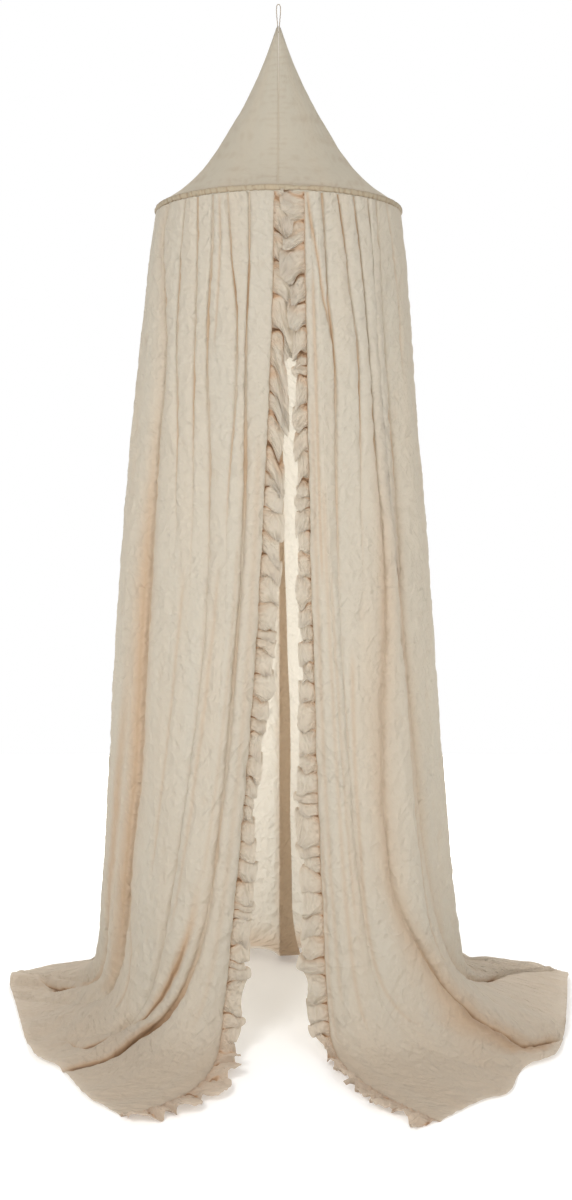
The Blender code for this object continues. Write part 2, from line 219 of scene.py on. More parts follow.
def blur(field: Array, radius: int, axis: int) -> Array:
    """Mean over a window of 2 * radius + 1 cells along one axis, run three times.

    Args:
        field: a grid of values.
        radius: half the window, in cells.
        axis: 0 down the rows or 1 across the columns.

    Returns:
        The softened grid, of the same shape.
    """
    for _ in range(3):
        pad = [(radius + 1, radius) if a == axis else (0, 0) for a in range(field.ndim)]
        total = np.cumsum(np.pad(field, pad, mode="edge"), axis=axis)
        window = 2 * radius + 1
        high = np.take(total, range(window, total.shape[axis]), axis=axis)
        low = np.take(total, range(0, total.shape[axis] - window), axis=axis)
        field = (high - low) / window
    return field


def hollows(relief: Array, radius: Counts, depth: float) -> Array:
    """0 on the swells and 1 in the troughs: how far relief lies below its own blur.

    Args:
        relief: height of the cloth over its smooth base, in metres.
        radius: blur radius in rows and columns.
        depth: depth that counts as a full trough.

    Returns:
        A grid from 0 to 1.
    """
    mean = blur(blur(relief, radius[0], 0), radius[1], 1)
    return np.clip((mean - relief) / depth, 0, 1)


# Grids to meshes


def grid_normals(points: Array) -> Array:
    """Unit normals of a grid: cross product of the steps down the rows and across the columns."""
    return unit(np.cross(np.gradient(points, axis=0), np.gradient(points, axis=1)))


def cell_steps(points: Array, axis: int) -> Array:
    """Length of each step along an axis, as a running sum from 0.

    Args:
        points: a line or a grid of points.
        axis: 0 down the rows or 1 across the columns.

    Returns:
        Length up to each point, of the same shape less the last axis.
    """
    step = np.linalg.norm(np.diff(points, axis=axis), axis=-1)
    first = np.zeros_like(np.take(step, [0], axis=axis))
    return np.cumsum(np.concatenate([first, step], axis=axis), axis=axis)


def make_mesh(name: str, points: Array, uv: Array, hollow_shade: Array, flip: bool = False,
              ring: bool = False) -> bpy.types.Object:
    """A sheet of quads over a grid of points, with its cloth coordinates and the painted shade of its
    troughs.

    Args:
        name: name of the object.
        points: rows by columns by 3, in the row frame.
        uv: cloth coordinates in metres, rows by columns by 2, one column more for a ring.
        hollow_shade: painted shade of each point, rows by columns.
        flip: turns the faces round.
        ring: joins the last column to the first.

    Returns:
        The new object, linked to the scene.
    """
    rows, columns = points.shape[:2]
    across = columns if ring else columns - 1
    r, c = np.meshgrid(np.arange(rows - 1), np.arange(across), indexing="ij")
    r, c = r.ravel(), c.ravel()
    corners_r = np.stack([r, r + 1, r + 1, r], axis=1)
    corners_c = np.stack([c, c, c + 1, c + 1], axis=1)
    if flip:
        corners_r, corners_c = corners_r[:, ::-1], corners_c[:, ::-1]
    corners = (corners_r * columns + corners_c % columns).astype(np.int32)
    mesh = bpy.data.meshes.new(name)
    mesh.vertices.add(rows * columns)
    mesh.vertices.foreach_set("co", points.astype(np.float32).ravel())
    mesh.loops.add(corners.size)
    mesh.loops.foreach_set("vertex_index", corners.ravel())
    mesh.polygons.add(len(corners))
    mesh.polygons.foreach_set("loop_start", np.arange(0, corners.size, 4, dtype=np.int32))
    mesh.polygons.foreach_set("use_smooth", np.ones(len(corners), dtype=bool))
    layer = mesh.uv_layers.new(name=CLOTH_UV)
    layer.data.foreach_set("uv", uv[corners_r, corners_c].astype(np.float32).ravel())
    # The painted shade goes onto the mesh as a point attribute.
    trough = mesh.attributes.new(HOLLOW_SHADE, "FLOAT", "POINT")
    trough.data.foreach_set("value", hollow_shade.astype(np.float32).ravel())
    mesh.update(calc_edges=True)
    mesh.validate()
    obj = bpy.data.objects.new(name, mesh)
    bpy.context.scene.collection.objects.link(obj)
    return obj


def dress(obj: bpy.types.Object, material: bpy.types.Material,
          nodes: tuple[str, ...]) -> bpy.types.Object:
    """Gives a piece its finish, lets it ride on the frame and stand for its solids.

    Args:
        obj: the piece.
        material: its finish.
        nodes: the CAD nodes that it stands for.

    Returns:
        The same piece.
    """
    obj.data.materials.append(material)
    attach(obj, "root")
    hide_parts(*nodes)
    log.info("%s: %d faces", obj.name, len(obj.data.polygons))
    return obj


# Finishes


class NodeBoard:
    """Adds and joins the nodes of one material."""

    def __init__(self, name: str) -> None:
        """Starts an empty material.

        Args:
            name: name of the material.
        """
        self.material = bpy.data.materials.new(name)
        self.material.use_nodes = True
        self.tree = self.material.node_tree
        self.tree.nodes.clear()

    def add(self, kind: str, **settings: object) -> bpy.types.Node:
        """Adds a node and sets its properties.

        Args:
            kind: the node's type.
            settings: its properties by name.

        Returns:
            The node.
        """
        node = self.tree.nodes.new(kind)
        for key, value in settings.items():
            setattr(node, key, value)
        return node

    def join(self, start: bpy.types.NodeSocket, end: bpy.types.NodeSocket) -> None:
        """Links two sockets."""
        self.tree.links.new(start, end)

    def math(self, operation: str, *values: object, clamp: bool = False) -> bpy.types.NodeSocket:
        """Adds one Math node.

        Args:
            operation: the node's operation.
            values: its sockets or floats, in order.
            clamp: keeps the result between 0 and 1.

        Returns:
            The output socket.
        """
        node = self.add("ShaderNodeMath", operation=operation, use_clamp=clamp)
        for socket, value in zip(node.inputs, values):
            if isinstance(value, float):
                socket.default_value = value
            else:
                self.join(value, socket)
        return node.outputs[0]

    def mix(self, factor: object, low: object, high: object,
            blend: str = "MIX") -> bpy.types.NodeSocket:
        """Mixes two colours by a factor.

        Args:
            factor: socket or float, 0.0 for low and 1.0 for high.
            low: socket or colour.
            high: socket or colour.
            blend: the Mix node's blend type.

        Returns:
            The mixed colour's socket.
        """
        node = self.add("ShaderNodeMix", data_type="RGBA", blend_type=blend)
        if isinstance(factor, float):
            node.inputs[0].default_value = factor
        else:
            self.join(factor, node.inputs[0])
        for number, value in zip(MIX_COLOURS, (low, high)):
            if isinstance(value, tuple):
                node.inputs[number].default_value = (*value, 1.0)
            else:
                self.join(value, node.inputs[number])
        return node.outputs[MIX_RESULT]

    def noise(self, vector: bpy.types.NodeSocket, size: Pair, detail: float,
              kind: str = "FBM", turn: float = 0.0) -> bpy.types.NodeSocket:
        """Noise over cloth coordinates, longer one way than the other.

        Args:
            vector: coordinates in metres.
            size: width and length of a bump in metres.
            detail: finer layers.
            kind: the Noise node's type.
            turn: degrees that the long way is turned from the fall of the cloth.

        Returns:
            The value socket.
        """
        mapping = self.add("ShaderNodeMapping", vector_type="TEXTURE")
        mapping.inputs["Rotation"].default_value = (0.0, 0.0, np.radians(turn))
        mapping.inputs["Scale"].default_value = (*size, size[0])
        self.join(vector, mapping.inputs["Vector"])
        node = self.add("ShaderNodeTexNoise", noise_type=kind)
        node.inputs["Scale"].default_value = 1.0
        node.inputs["Detail"].default_value = detail
        self.join(mapping.outputs[0], node.inputs["Vector"])
        return node.outputs[0]

    def threads(self, vector: bpy.types.NodeSocket, direction: str,
                pitch: float) -> bpy.types.NodeSocket:
        """Parallel threads of a pitch in metres, as a sine from 0 to 1.

        Args:
            vector: coordinates in metres.
            direction: X or Y.
            pitch: distance between threads.

        Returns:
            The value socket.
        """
        node = self.add("ShaderNodeTexWave", wave_type="BANDS", bands_direction=direction)
        node.inputs["Scale"].default_value = 2 * np.pi / (WAVE_RATE * pitch)
        node.inputs["Distortion"].default_value = 0.6
        node.inputs["Detail"].default_value = 1.0
        self.join(vector, node.inputs["Vector"])
        return node.outputs["Fac"]

    def bump(self, height: bpy.types.NodeSocket, distance: float, strength: float,
             normal: bpy.types.NodeSocket | None = None) -> bpy.types.NodeSocket:
        """Relief from a height.

        Args:
            height: socket from 0 to 1.
            distance: depth in metres.
            strength: share of it that shows.
            normal: relief below this one.

        Returns:
            The normal socket.
        """
        node = self.add("ShaderNodeBump")
        node.inputs["Distance"].default_value = distance
        node.inputs["Strength"].default_value = strength
        self.join(height, node.inputs["Height"])
        if normal is not None:
            self.join(normal, node.inputs["Normal"])
        return node.outputs[0]


@dataclass(frozen=True)
class CottonFinish:
    """Washed plain-weave cotton: crinkled, matt, and thin enough to let light through."""

    name: str
    face: Colour
    # Colour that painted shade darkens the face towards, in troughs and creases.
    painted_shade: Colour
    glow: Colour
    # Darker painted shade colour for the deepest troughs.
    crease: Colour = (0.250, 0.155, 0.090)
    thin: float = 0.45
    roughness: float = 0.88
    thread: float = 0.0011
    wrinkle: float = 0.0026
    crumb: float = 0.0012
    mottle: float = 0.06
    cool: Colour = (0.95, 1.02, 1.07)
    warm: Colour = (1.05, 0.98, 0.93)
    # Painted shade value above which the darker painted shade colour comes in.
    crease_from: float = 0.6
    weave_depth: float = 0.0002
    specular: float = 0.2
    sheen: Pair = (0.12, 0.5)
    patch: Pair = (0.11, 0.20)
    slub: Pair = (0.0014, 0.016)
    streak: Pair = (0.050, 0.60)
    crumb_size: Pair = (0.006, 0.009)
    groove_patch: Pair = (0.09, 0.14)
    groove_steepness: float = 7.0
    grooves: Table = Table("width length turn", (
        (0.030, 0.150, 4.0), (0.026, 0.090, 36.0), (0.026, 0.085, -33.0), (0.032, 0.070, 80.0),
    ))

    def tinted(self, tint: Colour) -> Colour:
        """The face colour times a tint."""
        return tuple(c * t for c, t in zip(self.face, tint))

    def wrinkles(self, board: NodeBoard, cloth: bpy.types.NodeSocket) -> bpy.types.NodeSocket:
        """Thin pressed-in grooves along the fall and slanting both ways, with crumbs between.

        Each groove is where a long soft noise crosses its middle value, and it fades in patches.

        Args:
            board: the material's nodes.
            cloth: cloth coordinates.

        Returns:
            The normal socket.
        """
        relief = None
        for width, length, turn in self.grooves.rows:
            wave = board.noise(cloth, (width, length), 2.0, turn=turn)
            level = board.math("ABSOLUTE", board.math("SUBTRACT", wave, 0.5))
            groove = board.math("MULTIPLY", level, self.groove_steepness, clamp=True)
            patch = board.noise(cloth, self.groove_patch, 1.0, turn=turn + 45.0)
            relief = board.bump(board.math("MULTIPLY", groove, patch), self.wrinkle, 1.0, relief)
        return board.bump(board.noise(cloth, self.crumb_size, 3.0), self.crumb, 0.5, relief)

    def make(self) -> bpy.types.Material:
        """Weave, washed wrinkles, streaks of warm and cool tone, and painted shade in the troughs.

        The painted shade value brings in the shade colour and, above crease_from, the darker crease shade
        colour over it.

        Returns:
            The material.
        """
        board = NodeBoard(self.name)
        cloth = board.add("ShaderNodeUVMap", uv_map=CLOTH_UV).outputs[0]
        # Painted shade value of each point, read from the mesh.
        shaded = board.add("ShaderNodeAttribute", attribute_name=HOLLOW_SHADE).outputs["Fac"]
        patches = board.noise(cloth, self.patch, 2.0)
        slubs = board.noise(cloth, self.slub, 2.0)
        weave = board.math("MULTIPLY", board.threads(cloth, "X", self.thread),
                           board.threads(cloth, "Y", self.thread))
        tone = board.math("MULTIPLY_ADD", board.math("ADD", patches, slubs), self.mottle,
                          1.0 - self.mottle)
        streaks = board.noise(cloth, self.streak, 1.0)
        face = board.mix(streaks, self.tinted(self.cool), self.tinted(self.warm))
        # Painted shade: the face colour and the colour of light let through are both darkened towards the
        # shade colours.
        steep = 1 / (1 - self.crease_from)
        deep = board.math("MULTIPLY_ADD", shaded, steep, -self.crease_from * steep, clamp=True)
        body = board.mix(deep, board.mix(shaded, face, self.painted_shade), self.crease)
        body = board.mix(1.0, body, tone, "MULTIPLY")
        through = board.mix(deep, board.mix(shaded, self.glow, self.painted_shade), self.crease)
        relief = board.bump(weave, self.weave_depth, 0.5, self.wrinkles(board, cloth))
        skin = board.add("ShaderNodeBsdfPrincipled")
        skin.inputs["Roughness"].default_value = self.roughness
        skin.inputs["Specular IOR Level"].default_value = self.specular
        skin.inputs["Sheen Weight"].default_value = self.sheen[0]
        skin.inputs["Sheen Roughness"].default_value = self.sheen[1]
        board.join(body, skin.inputs["Base Color"])
        board.join(relief, skin.inputs["Normal"])
        light = board.add("ShaderNodeBsdfTranslucent")
        board.join(through, light.inputs["Color"])
        board.join(relief, light.inputs["Normal"])
        both = board.add("ShaderNodeMixShader")
        both.inputs[0].default_value = self.thin
        board.join(skin.outputs[0], both.inputs[1])
        board.join(light.outputs[0], both.inputs[2])
        board.join(both.outputs[0], board.add("ShaderNodeOutputMaterial").inputs["Surface"])
        return board.material


@dataclass(frozen=True)
class SteelFinish:
    """Plain steel wire, its shine and its surface a little uneven."""

    name: str = "drawn_steel"
    colour: Colour = (0.55, 0.55, 0.57)
    roughness: Pair = (0.2, 0.3)
    grain: float = 0.0011
    grain_depth: float = 0.0001

    def make(self) -> bpy.types.Material:
        """Metal with noise in its roughness and relief.

        Returns:
            The material.
        """
        board = NodeBoard(self.name)
        place = board.add("ShaderNodeTexCoord").outputs["Object"]
        grain = board.noise(place, (self.grain, self.grain), 2.0)
        rough = board.math("MULTIPLY_ADD", grain, self.roughness[1], self.roughness[0])
        skin = board.add("ShaderNodeBsdfPrincipled")
        skin.inputs["Base Color"].default_value = (*self.colour, 1.0)
        skin.inputs["Metallic"].default_value = 1.0
        board.join(rough, skin.inputs["Roughness"])
        board.join(board.bump(grain, self.grain_depth, 0.3), skin.inputs["Normal"])
        board.join(skin.outputs[0], board.add("ShaderNodeOutputMaterial").inputs["Surface"])
        return board.material


@dataclass(frozen=True)
class PaperFinish:
    """Seamless white studio paper that keeps a soft shadow near the cloth and none far out."""

    name: str = "studio_paper"
    white: float = 0.86
    roughness: float = 0.9
    glow: Pair = (0.20, 1.0)
    fade: Pair = (0.75, 1.60)

    def make(self) -> bpy.types.Material:
        """White diffuse with a little light of its own, and more of it far from the middle.

        Returns:
            The material.
        """
        board = NodeBoard(self.name)
        level = board.add("ShaderNodeVectorMath", operation="MULTIPLY")
        level.inputs[1].default_value = (1.0, 1.0, 0.0)
        board.join(board.add("ShaderNodeTexCoord").outputs["Object"], level.inputs[0])
        reach = board.add("ShaderNodeVectorMath", operation="LENGTH")
        board.join(level.outputs[0], reach.inputs[0])
        glow = board.add("ShaderNodeMapRange", interpolation_type="SMOOTHSTEP")
        for name, value in zip(("From Min", "From Max", "To Min", "To Max"), self.fade + self.glow):
            glow.inputs[name].default_value = value
        board.join(reach.outputs["Value"], glow.inputs["Value"])
        skin = board.add("ShaderNodeBsdfPrincipled")
        skin.inputs["Base Color"].default_value = (self.white, self.white, self.white, 1.0)
        skin.inputs["Roughness"].default_value = self.roughness
        skin.inputs["Specular IOR Level"].default_value = 0.0
        skin.inputs["Emission Color"].default_value = (1.0, 1.0, 1.0, 1.0)
        board.join(glow.outputs[0], skin.inputs["Emission Strength"])
        board.join(skin.outputs[0], board.add("ShaderNodeOutputMaterial").inputs["Surface"])
        return board.material


# Roof, loop, hoop and band

HOOP_HEIGHT = 1.580
HOOP_RADIUS = 0.2442
CURTAIN_TOP = 1.5720


@dataclass(frozen=True)
class HangLoop:
    """Narrow eye of twisted cord, its tail sewn inside the roof's tip."""

    cord: float = 0.0010
    strands: int = 3
    strand_swell: float = 0.00022
    twist_pitch: float = 0.007
    drop: tuple[float, ...] = (0.0010, -0.0005, -0.0045, -0.0150, -0.0290, -0.0400, -0.0520, -0.0570)
    half: tuple[float, ...] = (0.0000, 0.0026, 0.0040, 0.0041, 0.0030, 0.0019, 0.0017, 0.0000)
    steps: int = 260
    around: int = 14

    def path(self) -> Array:
        """Closed line through the eye's points, its corners cut twice, in even steps.

        Returns:
            Points of the line.
        """
        half = np.array(self.half + tuple(-h for h in self.half[-2:0:-1]) + self.half[:1])
        drop = np.array(self.drop + self.drop[-2:0:-1] + self.drop[:1])
        points = np.stack([half, 0 * half, drop], axis=1)
        for _ in range(2):
            mid = points[:-1] * 0.75 + points[1:] * 0.25, points[:-1] * 0.25 + points[1:] * 0.75
            points = np.stack(mid, axis=1).reshape(-1, 3)
            points = np.concatenate([points, points[:1]])
        length = cell_steps(points, 0)
        at = np.linspace(0, length[-1], self.steps, endpoint=False)
        return np.stack([np.interp(at, length, points[:, k]) for k in range(3)], axis=1)

    def build(self, finish: bpy.types.Material) -> bpy.types.Object:
        """Tube round the path, its radius swelling where each of the twisted strands lies.

        Args:
            finish: material of the cord.

        Returns:
            The loop.
        """
        line = self.path()
        ahead = unit(np.roll(line, -1, axis=0) - np.roll(line, 1, axis=0))
        side = np.cross(ahead, (0.0, 1.0, 0.0))
        along = np.arange(self.steps) * np.linalg.norm(line[1] - line[0])
        turn = np.linspace(0, 2 * np.pi, self.around, endpoint=False)
        turns = round(along[-1] / self.twist_pitch)
        twist = 2 * np.pi * turns * np.arange(self.steps) / self.steps
        swell = np.cos(self.strands * turn[:, None] - twist)
        radius = (self.cord - self.strand_swell + self.strand_swell * swell)[..., None]
        around = (np.cos(turn)[:, None, None] * side + np.sin(turn)[:, None, None] * np.array((0, 1.0, 0)))
        points = line + radius * around
        points = np.concatenate([points, points[:1]])
        u, v = np.meshgrid(np.append(turn, 2 * np.pi) * self.cord,
                           np.append(along, along[-1] + along[1]), indexing="ij")
        # Painted shade in the grooves between the twisted strands.
        hollow_shade = np.concatenate([(1 - swell) / 2, (1 - swell[:1]) / 2])
        obj = make_mesh("loop_of_cord", points, np.stack([u, v], axis=-1), hollow_shade, ring=True, flip=True)
        return dress(obj, finish, ("hang_loop",))


@dataclass(frozen=True)
class RoofPanel:
    """Half of the cone roof, between its front seam and its back seam.

    Its cut and area are the half cone as modelled, laid out flat as a fan.
    """

    side: Side
    seed: int = 11
    apex: float = 1.953
    gap: float = 0.0003
    sag: float = 0.0025
    steps: Counts = (160, 200)
    bunching: float = 1.15
    tip_drop: float = -0.0030
    tip_radius: float = 0.0011
    shape: Table = Table("drop radius", (
        (0.0000, 0.0042), (0.0544, 0.0232), (0.0968, 0.0403), (0.1630, 0.0726), (0.2100, 0.0998),
        (0.2660, 0.1340), (0.3060, 0.1660), (0.3320, 0.1935), (0.3673, 0.2405),
    ))
    seam_dip: float = 0.0011
    seam_width: float = 0.0022
    seam_from: float = 0.004
    seam_over: float = 0.010
    # Painted shade along the seam's dip: its width and strength.
    seam_line: float = 0.0016
    seam_shade: float = 0.35
    pucker: float = 0.0007
    pucker_pitch: float = 0.016
    pucker_reach: float = 0.012
    pucker_start: float = 0.003
    pucker_radius: float = 0.03
    pucker_wobble: Swell = Swell(0.006, 0.05, 0.5)
    ease: float = 0.0012
    ease_radius: float = 0.06
    least_radius: float = 0.02
    billow: Swell = Swell(1.0, 0.2, 0.16)
    crinkle: Swell = Swell(0.30, 0.07, 0.05, lean=0.35, sharp=True)
    fine_crinkle: Swell = Swell(0.16, 0.022, 0.03, sharp=True)
    tuck: Swell = Swell(0.0009, 0.011, 0.06, sharp=True)
    tuck_reach: float = 0.012
    # Painted shade in the troughs of the relief.
    trough_window: Counts = (5, 4)
    trough_depth: float = 0.0022
    # Painted shade along the lower edge next to the band: its reach and strength.
    hem_line: float = 0.003
    hem_shade: float = 0.6
    pattern_width: float = 0.40
    cut: Pair = (0.67, 0.45)
    area: float = 0.144

    def build(self, finish: bpy.types.Material) -> bpy.types.Object:
        """Radius from the table, less a sag between the seams, a dip and puckers at each seam.

        Args:
            finish: material of the panel.

        Returns:
            The panel.
        """
        fall, turn = np.meshgrid(np.linspace(0, 1, self.steps[0]) ** self.bunching,
                                 np.linspace(0, 1, self.steps[1]), indexing="ij")
        last = self.shape.rows[-1][0]
        drop = self.tip_drop + fall * (last - self.tip_drop)
        radius = smooth(drop, self.shape.column("drop"), self.shape.column("radius"))
        tip = eased(np.clip(drop / self.tip_drop, 0, 1))
        radius = radius + (self.tip_radius - radius) * tip
        share = np.clip(drop / last, 0, 1)
        radius = radius - self.sag * np.sin(np.pi * share) * (1 - np.cos(4 * np.pi * turn)) / 2
        slope = cell_steps(np.stack([radius[:, 0], drop[:, 0], 0 * drop[:, 0]], axis=-1), 0)[:, None]
        arc = np.pi * radius * np.minimum(turn, 1 - turn)
        seed = self.seed + self.side.value
        relief = -self.seam_dip * np.exp(-(arc / self.seam_width) ** 2)
        relief = relief * eased((radius - self.seam_from) / self.seam_over)
        wobble = slope + self.pucker_wobble.height(slope, turn, seed)
        pucker = self.pucker * np.exp(-arc / self.pucker_reach) * np.sin(
            2 * np.pi * wobble / self.pucker_pitch)
        relief = relief + pucker * eased(arc / self.pucker_start) * eased(radius / self.pucker_radius)
        spread = turn * np.pi * np.maximum(radius, self.least_radius)
        relief = relief + self.ease * eased(radius / self.ease_radius) * (
            self.billow.height(turn, slope, seed + 2)
            + self.crinkle.height(spread, slope, seed + 4)
            + self.fine_crinkle.height(spread, slope, seed + 6))
        near_band = np.exp(-(last - drop) / self.tuck_reach)
        relief = relief + near_band * self.tuck.height(spread, slope, seed + 8)
        angle = np.pi * turn
        reach = radius + relief
        x = reach * np.sin(angle) + self.gap
        y = -reach * np.cos(angle)
        points = np.stack([self.side.value * x, y, self.apex + FLOOR - drop], axis=-1)
        # Painted shade: troughs, seams and the lower edge by the band are darkened.
        hollow_shade = np.maximum(hollows(relief, self.trough_window, self.trough_depth),
                            self.seam_shade * np.exp(-(arc / self.seam_line) ** 2))
        hollow_shade = np.maximum(hollow_shade, self.hem_shade * np.exp(-(last - drop) / self.hem_line))
        uv = np.stack([turn * self.pattern_width, slope + 0 * turn], axis=-1)
        word = self.side.name.lower()
        obj = make_mesh(f"roof_panel_{word}", points, uv, hollow_shade, flip=self.side is Side.RIGHT)
        dress(obj, finish, (f"roof_{word}",))
        return obj


@dataclass(frozen=True)
class HoopBand:
    """Gathered band of cloth folded over the hoop. Its flat size is a guess."""

    radius: float = 0.0050
    seed: int = 31
    wrap: float = 135.0
    steps: Counts = (26, 1500)
    narrower: float = 0.92
    taller: float = 1.06
    pleat: float = 0.009
    pleat_depth: float = 0.0006
    slant: float = 0.0016
    fine: float = 0.0035
    fine_depth: float = 0.0004
    nip_spacing: float = 0.085
    nip_gain: float = 3.0
    nip_from: float = 0.9
    nip_pitch: float = 0.02
    nip_depth: float = 0.0016
    flange: float = 0.0012
    flange_from: float = 100.0
    flange_over: float = 35.0
    wave: float = 0.0007
    wave_length: float = 0.06
    # Painted shade in the troughs of the pleats.
    trough_window: Counts = (1, 4)
    trough_depth: float = 0.0012
    # Painted shade on the band's top, underside and inner side.
    edge_from: float = 55.0
    edge_over: float = 60.0
    edge_shade: float = 0.9
    flat: Pair = (0.026, 1.75)

    def build(self, finish: bpy.types.Material) -> bpy.types.Object:
        """C-shaped section round the hoop, its radius gathered into uneven slanting pleats.

        Args:
            finish: material of the band.

        Returns:
            The band.
        """
        wrap, turn = np.meshgrid(np.linspace(self.wrap, -self.wrap, self.steps[0]),
                                 np.linspace(0, 2 * np.pi, self.steps[1], endpoint=False),
                                 indexing="ij")
        rad = np.radians(wrap)
        east, north = HOOP_RADIUS * np.sin(turn), HOOP_RADIUS * np.cos(turn)
        slant = self.slant * np.sin(rad)
        swell = ridges((east + slant) / self.pleat, north / self.pleat, self.seed)
        crumb = soft_noise((east - slant) / self.fine, (north + slant) / self.fine, self.seed + 2)
        nip = soft_noise(east / self.nip_spacing, north / self.nip_spacing, self.seed + 4)
        nip = np.clip(nip * self.nip_gain - self.nip_from, 0, 1)
        creased = ridges(east / self.nip_pitch, north / self.nip_pitch, self.seed + 6)
        nip = nip * (0.5 + 0.5 * creased)
        relief = self.pleat_depth * swell + self.fine_depth * crumb - self.nip_depth * nip
        radius = self.radius + relief
        flange = self.flange * eased((np.abs(wrap) - self.flange_from) / self.flange_over)
        out = HOOP_RADIUS + radius * np.cos(rad) * self.narrower + flange
        wave = soft_noise(east / self.wave_length, north / self.wave_length, self.seed + 8)
        lift = radius * np.sin(rad) * self.taller + self.wave * wave
        points = np.stack([out * np.sin(turn), -out * np.cos(turn), HOOP_HEIGHT + FLOOR + lift], axis=-1)
        # Painted shade: the pleats' troughs and the turned sides of the band are darkened.
        edge = eased((np.abs(wrap) - self.edge_from) / self.edge_over)
        hollow_shade = hollows(relief, self.trough_window, self.trough_depth)
        hollow_shade = np.clip(hollow_shade + self.edge_shade * edge, 0, 1)
        u, v = np.meshgrid(np.linspace(0, self.flat[0], self.steps[0]),
                           np.linspace(0, self.flat[1], self.steps[1] + 1), indexing="ij")
        obj = make_mesh("hoop_band", points, np.stack([v, u], axis=-1), hollow_shade, flip=False, ring=True)
        dress(obj, finish, ("hoop_casing",))
        return obj


# Curtains
#
# Rows run from 0 at the band to 1 at the floor and 2 at the hem. A ramp is the place where it
# starts and the stretch that it takes.

MID_RAMP = (0.20, 0.30)
FLOOR_RAMP = (0.82, 0.26)
LYING_RAMP = (0.93, 0.14)
FLOOR_CLEARANCE = 0.0008
LINE_COLUMNS = "share hoop mid_x mid_y foot_x foot_y run_x run_y hem_x hem_y bend"
LEFT_LINES = Table(LINE_COLUMNS, (
    (0.00, 1.0, 0.034, -0.270, 0.104, -0.268, 0.136, -0.462, 0.252, -0.580, 0.050),
    (0.06, 6.5, 0.052, -0.276, 0.142, -0.280, 0.222, -0.415, 0.315, -0.512, 0.055),
    (0.12, 12.2, 0.069, -0.275, 0.178, -0.270, 0.283, -0.326, 0.377, -0.392, 0.060),
    (0.19, 23.0, 0.095, -0.272, 0.212, -0.250, 0.315, -0.287, 0.430, -0.340, 0.060),
    (0.25, 29.3, 0.137, -0.255, 0.238, -0.222, 0.330, -0.248, 0.465, -0.250, 0.060),
    (0.33, 44.0, 0.190, -0.220, 0.275, -0.165, 0.390, -0.165, 0.505, -0.110, 0.055),
    (0.40, 56.8, 0.240, -0.180, 0.305, -0.090, 0.415, -0.060, 0.530, -0.020, 0.050),
    (0.46, 72.0, 0.290, -0.105, 0.335, -0.020, 0.428, 0.015, 0.552, 0.055, 0.045),
    (0.51, 88.0, 0.306, 0.000, 0.347, 0.040, 0.430, 0.060, 0.550, 0.110, 0.040),
    (0.56, 102.0, 0.302, 0.070, 0.350, 0.090, 0.425, 0.110, 0.505, 0.145, 0.035),
    (0.61, 114.0, 0.285, 0.125, 0.342, 0.140, 0.385, 0.180, 0.412, 0.225, 0.030),
    (0.70, 130.0, 0.235, 0.190, 0.290, 0.195, 0.325, 0.280, 0.345, 0.370, 0.030),
    (0.80, 147.0, 0.160, 0.235, 0.200, 0.222, 0.225, 0.340, 0.245, 0.470, 0.030),
    (0.90, 164.0, 0.080, 0.262, 0.095, 0.205, 0.110, 0.360, 0.125, 0.530, 0.030),
    (1.00, 180.0, 0.000, 0.270, 0.000, 0.185, 0.000, 0.370, 0.000, 0.550, 0.030),
))
RIGHT_LINES = Table(LINE_COLUMNS, (
    (0.00, 11.1, 0.061, -0.270, 0.090, -0.278, 0.144, -0.440, 0.262, -0.600, 0.045),
    (0.07, 14.5, 0.083, -0.278, 0.135, -0.288, 0.215, -0.425, 0.340, -0.522, 0.050),
    (0.12, 17.0, 0.097, -0.278, 0.160, -0.286, 0.262, -0.395, 0.392, -0.486, 0.060),
    (0.17, 19.3, 0.109, -0.275, 0.182, -0.278, 0.305, -0.352, 0.430, -0.386, 0.070),
    (0.22, 26.8, 0.150, -0.260, 0.222, -0.255, 0.362, -0.315, 0.492, -0.335, 0.080),
    (0.28, 35.0, 0.200, -0.232, 0.268, -0.205, 0.412, -0.258, 0.528, -0.245, 0.090),
    (0.34, 43.0, 0.220, -0.205, 0.305, -0.130, 0.448, -0.120, 0.562, -0.100, 0.075),
    (0.41, 49.0, 0.234, -0.185, 0.345, -0.020, 0.458, 0.015, 0.592, 0.050, 0.055),
    (0.48, 70.0, 0.280, -0.100, 0.362, 0.035, 0.458, 0.080, 0.604, 0.130, 0.045),
    (0.53, 86.0, 0.293, -0.010, 0.364, 0.080, 0.448, 0.125, 0.570, 0.180, 0.040),
    (0.58, 100.0, 0.290, 0.065, 0.355, 0.120, 0.412, 0.165, 0.500, 0.200, 0.035),
    (0.63, 113.0, 0.275, 0.125, 0.338, 0.155, 0.375, 0.200, 0.415, 0.245, 0.030),
    (0.71, 130.0, 0.230, 0.190, 0.290, 0.195, 0.325, 0.290, 0.350, 0.385, 0.030),
    (0.80, 147.0, 0.160, 0.235, 0.205, 0.222, 0.225, 0.345, 0.245, 0.480, 0.030),
    (0.90, 164.0, 0.080, 0.262, 0.095, 0.205, 0.110, 0.360, 0.125, 0.530, 0.030),
    (1.00, 180.0, 0.000, 0.270, 0.000, 0.185, 0.000, 0.370, 0.000, 0.550, 0.030),
))
FOLD_COLUMNS = "start end top mid foot hem"
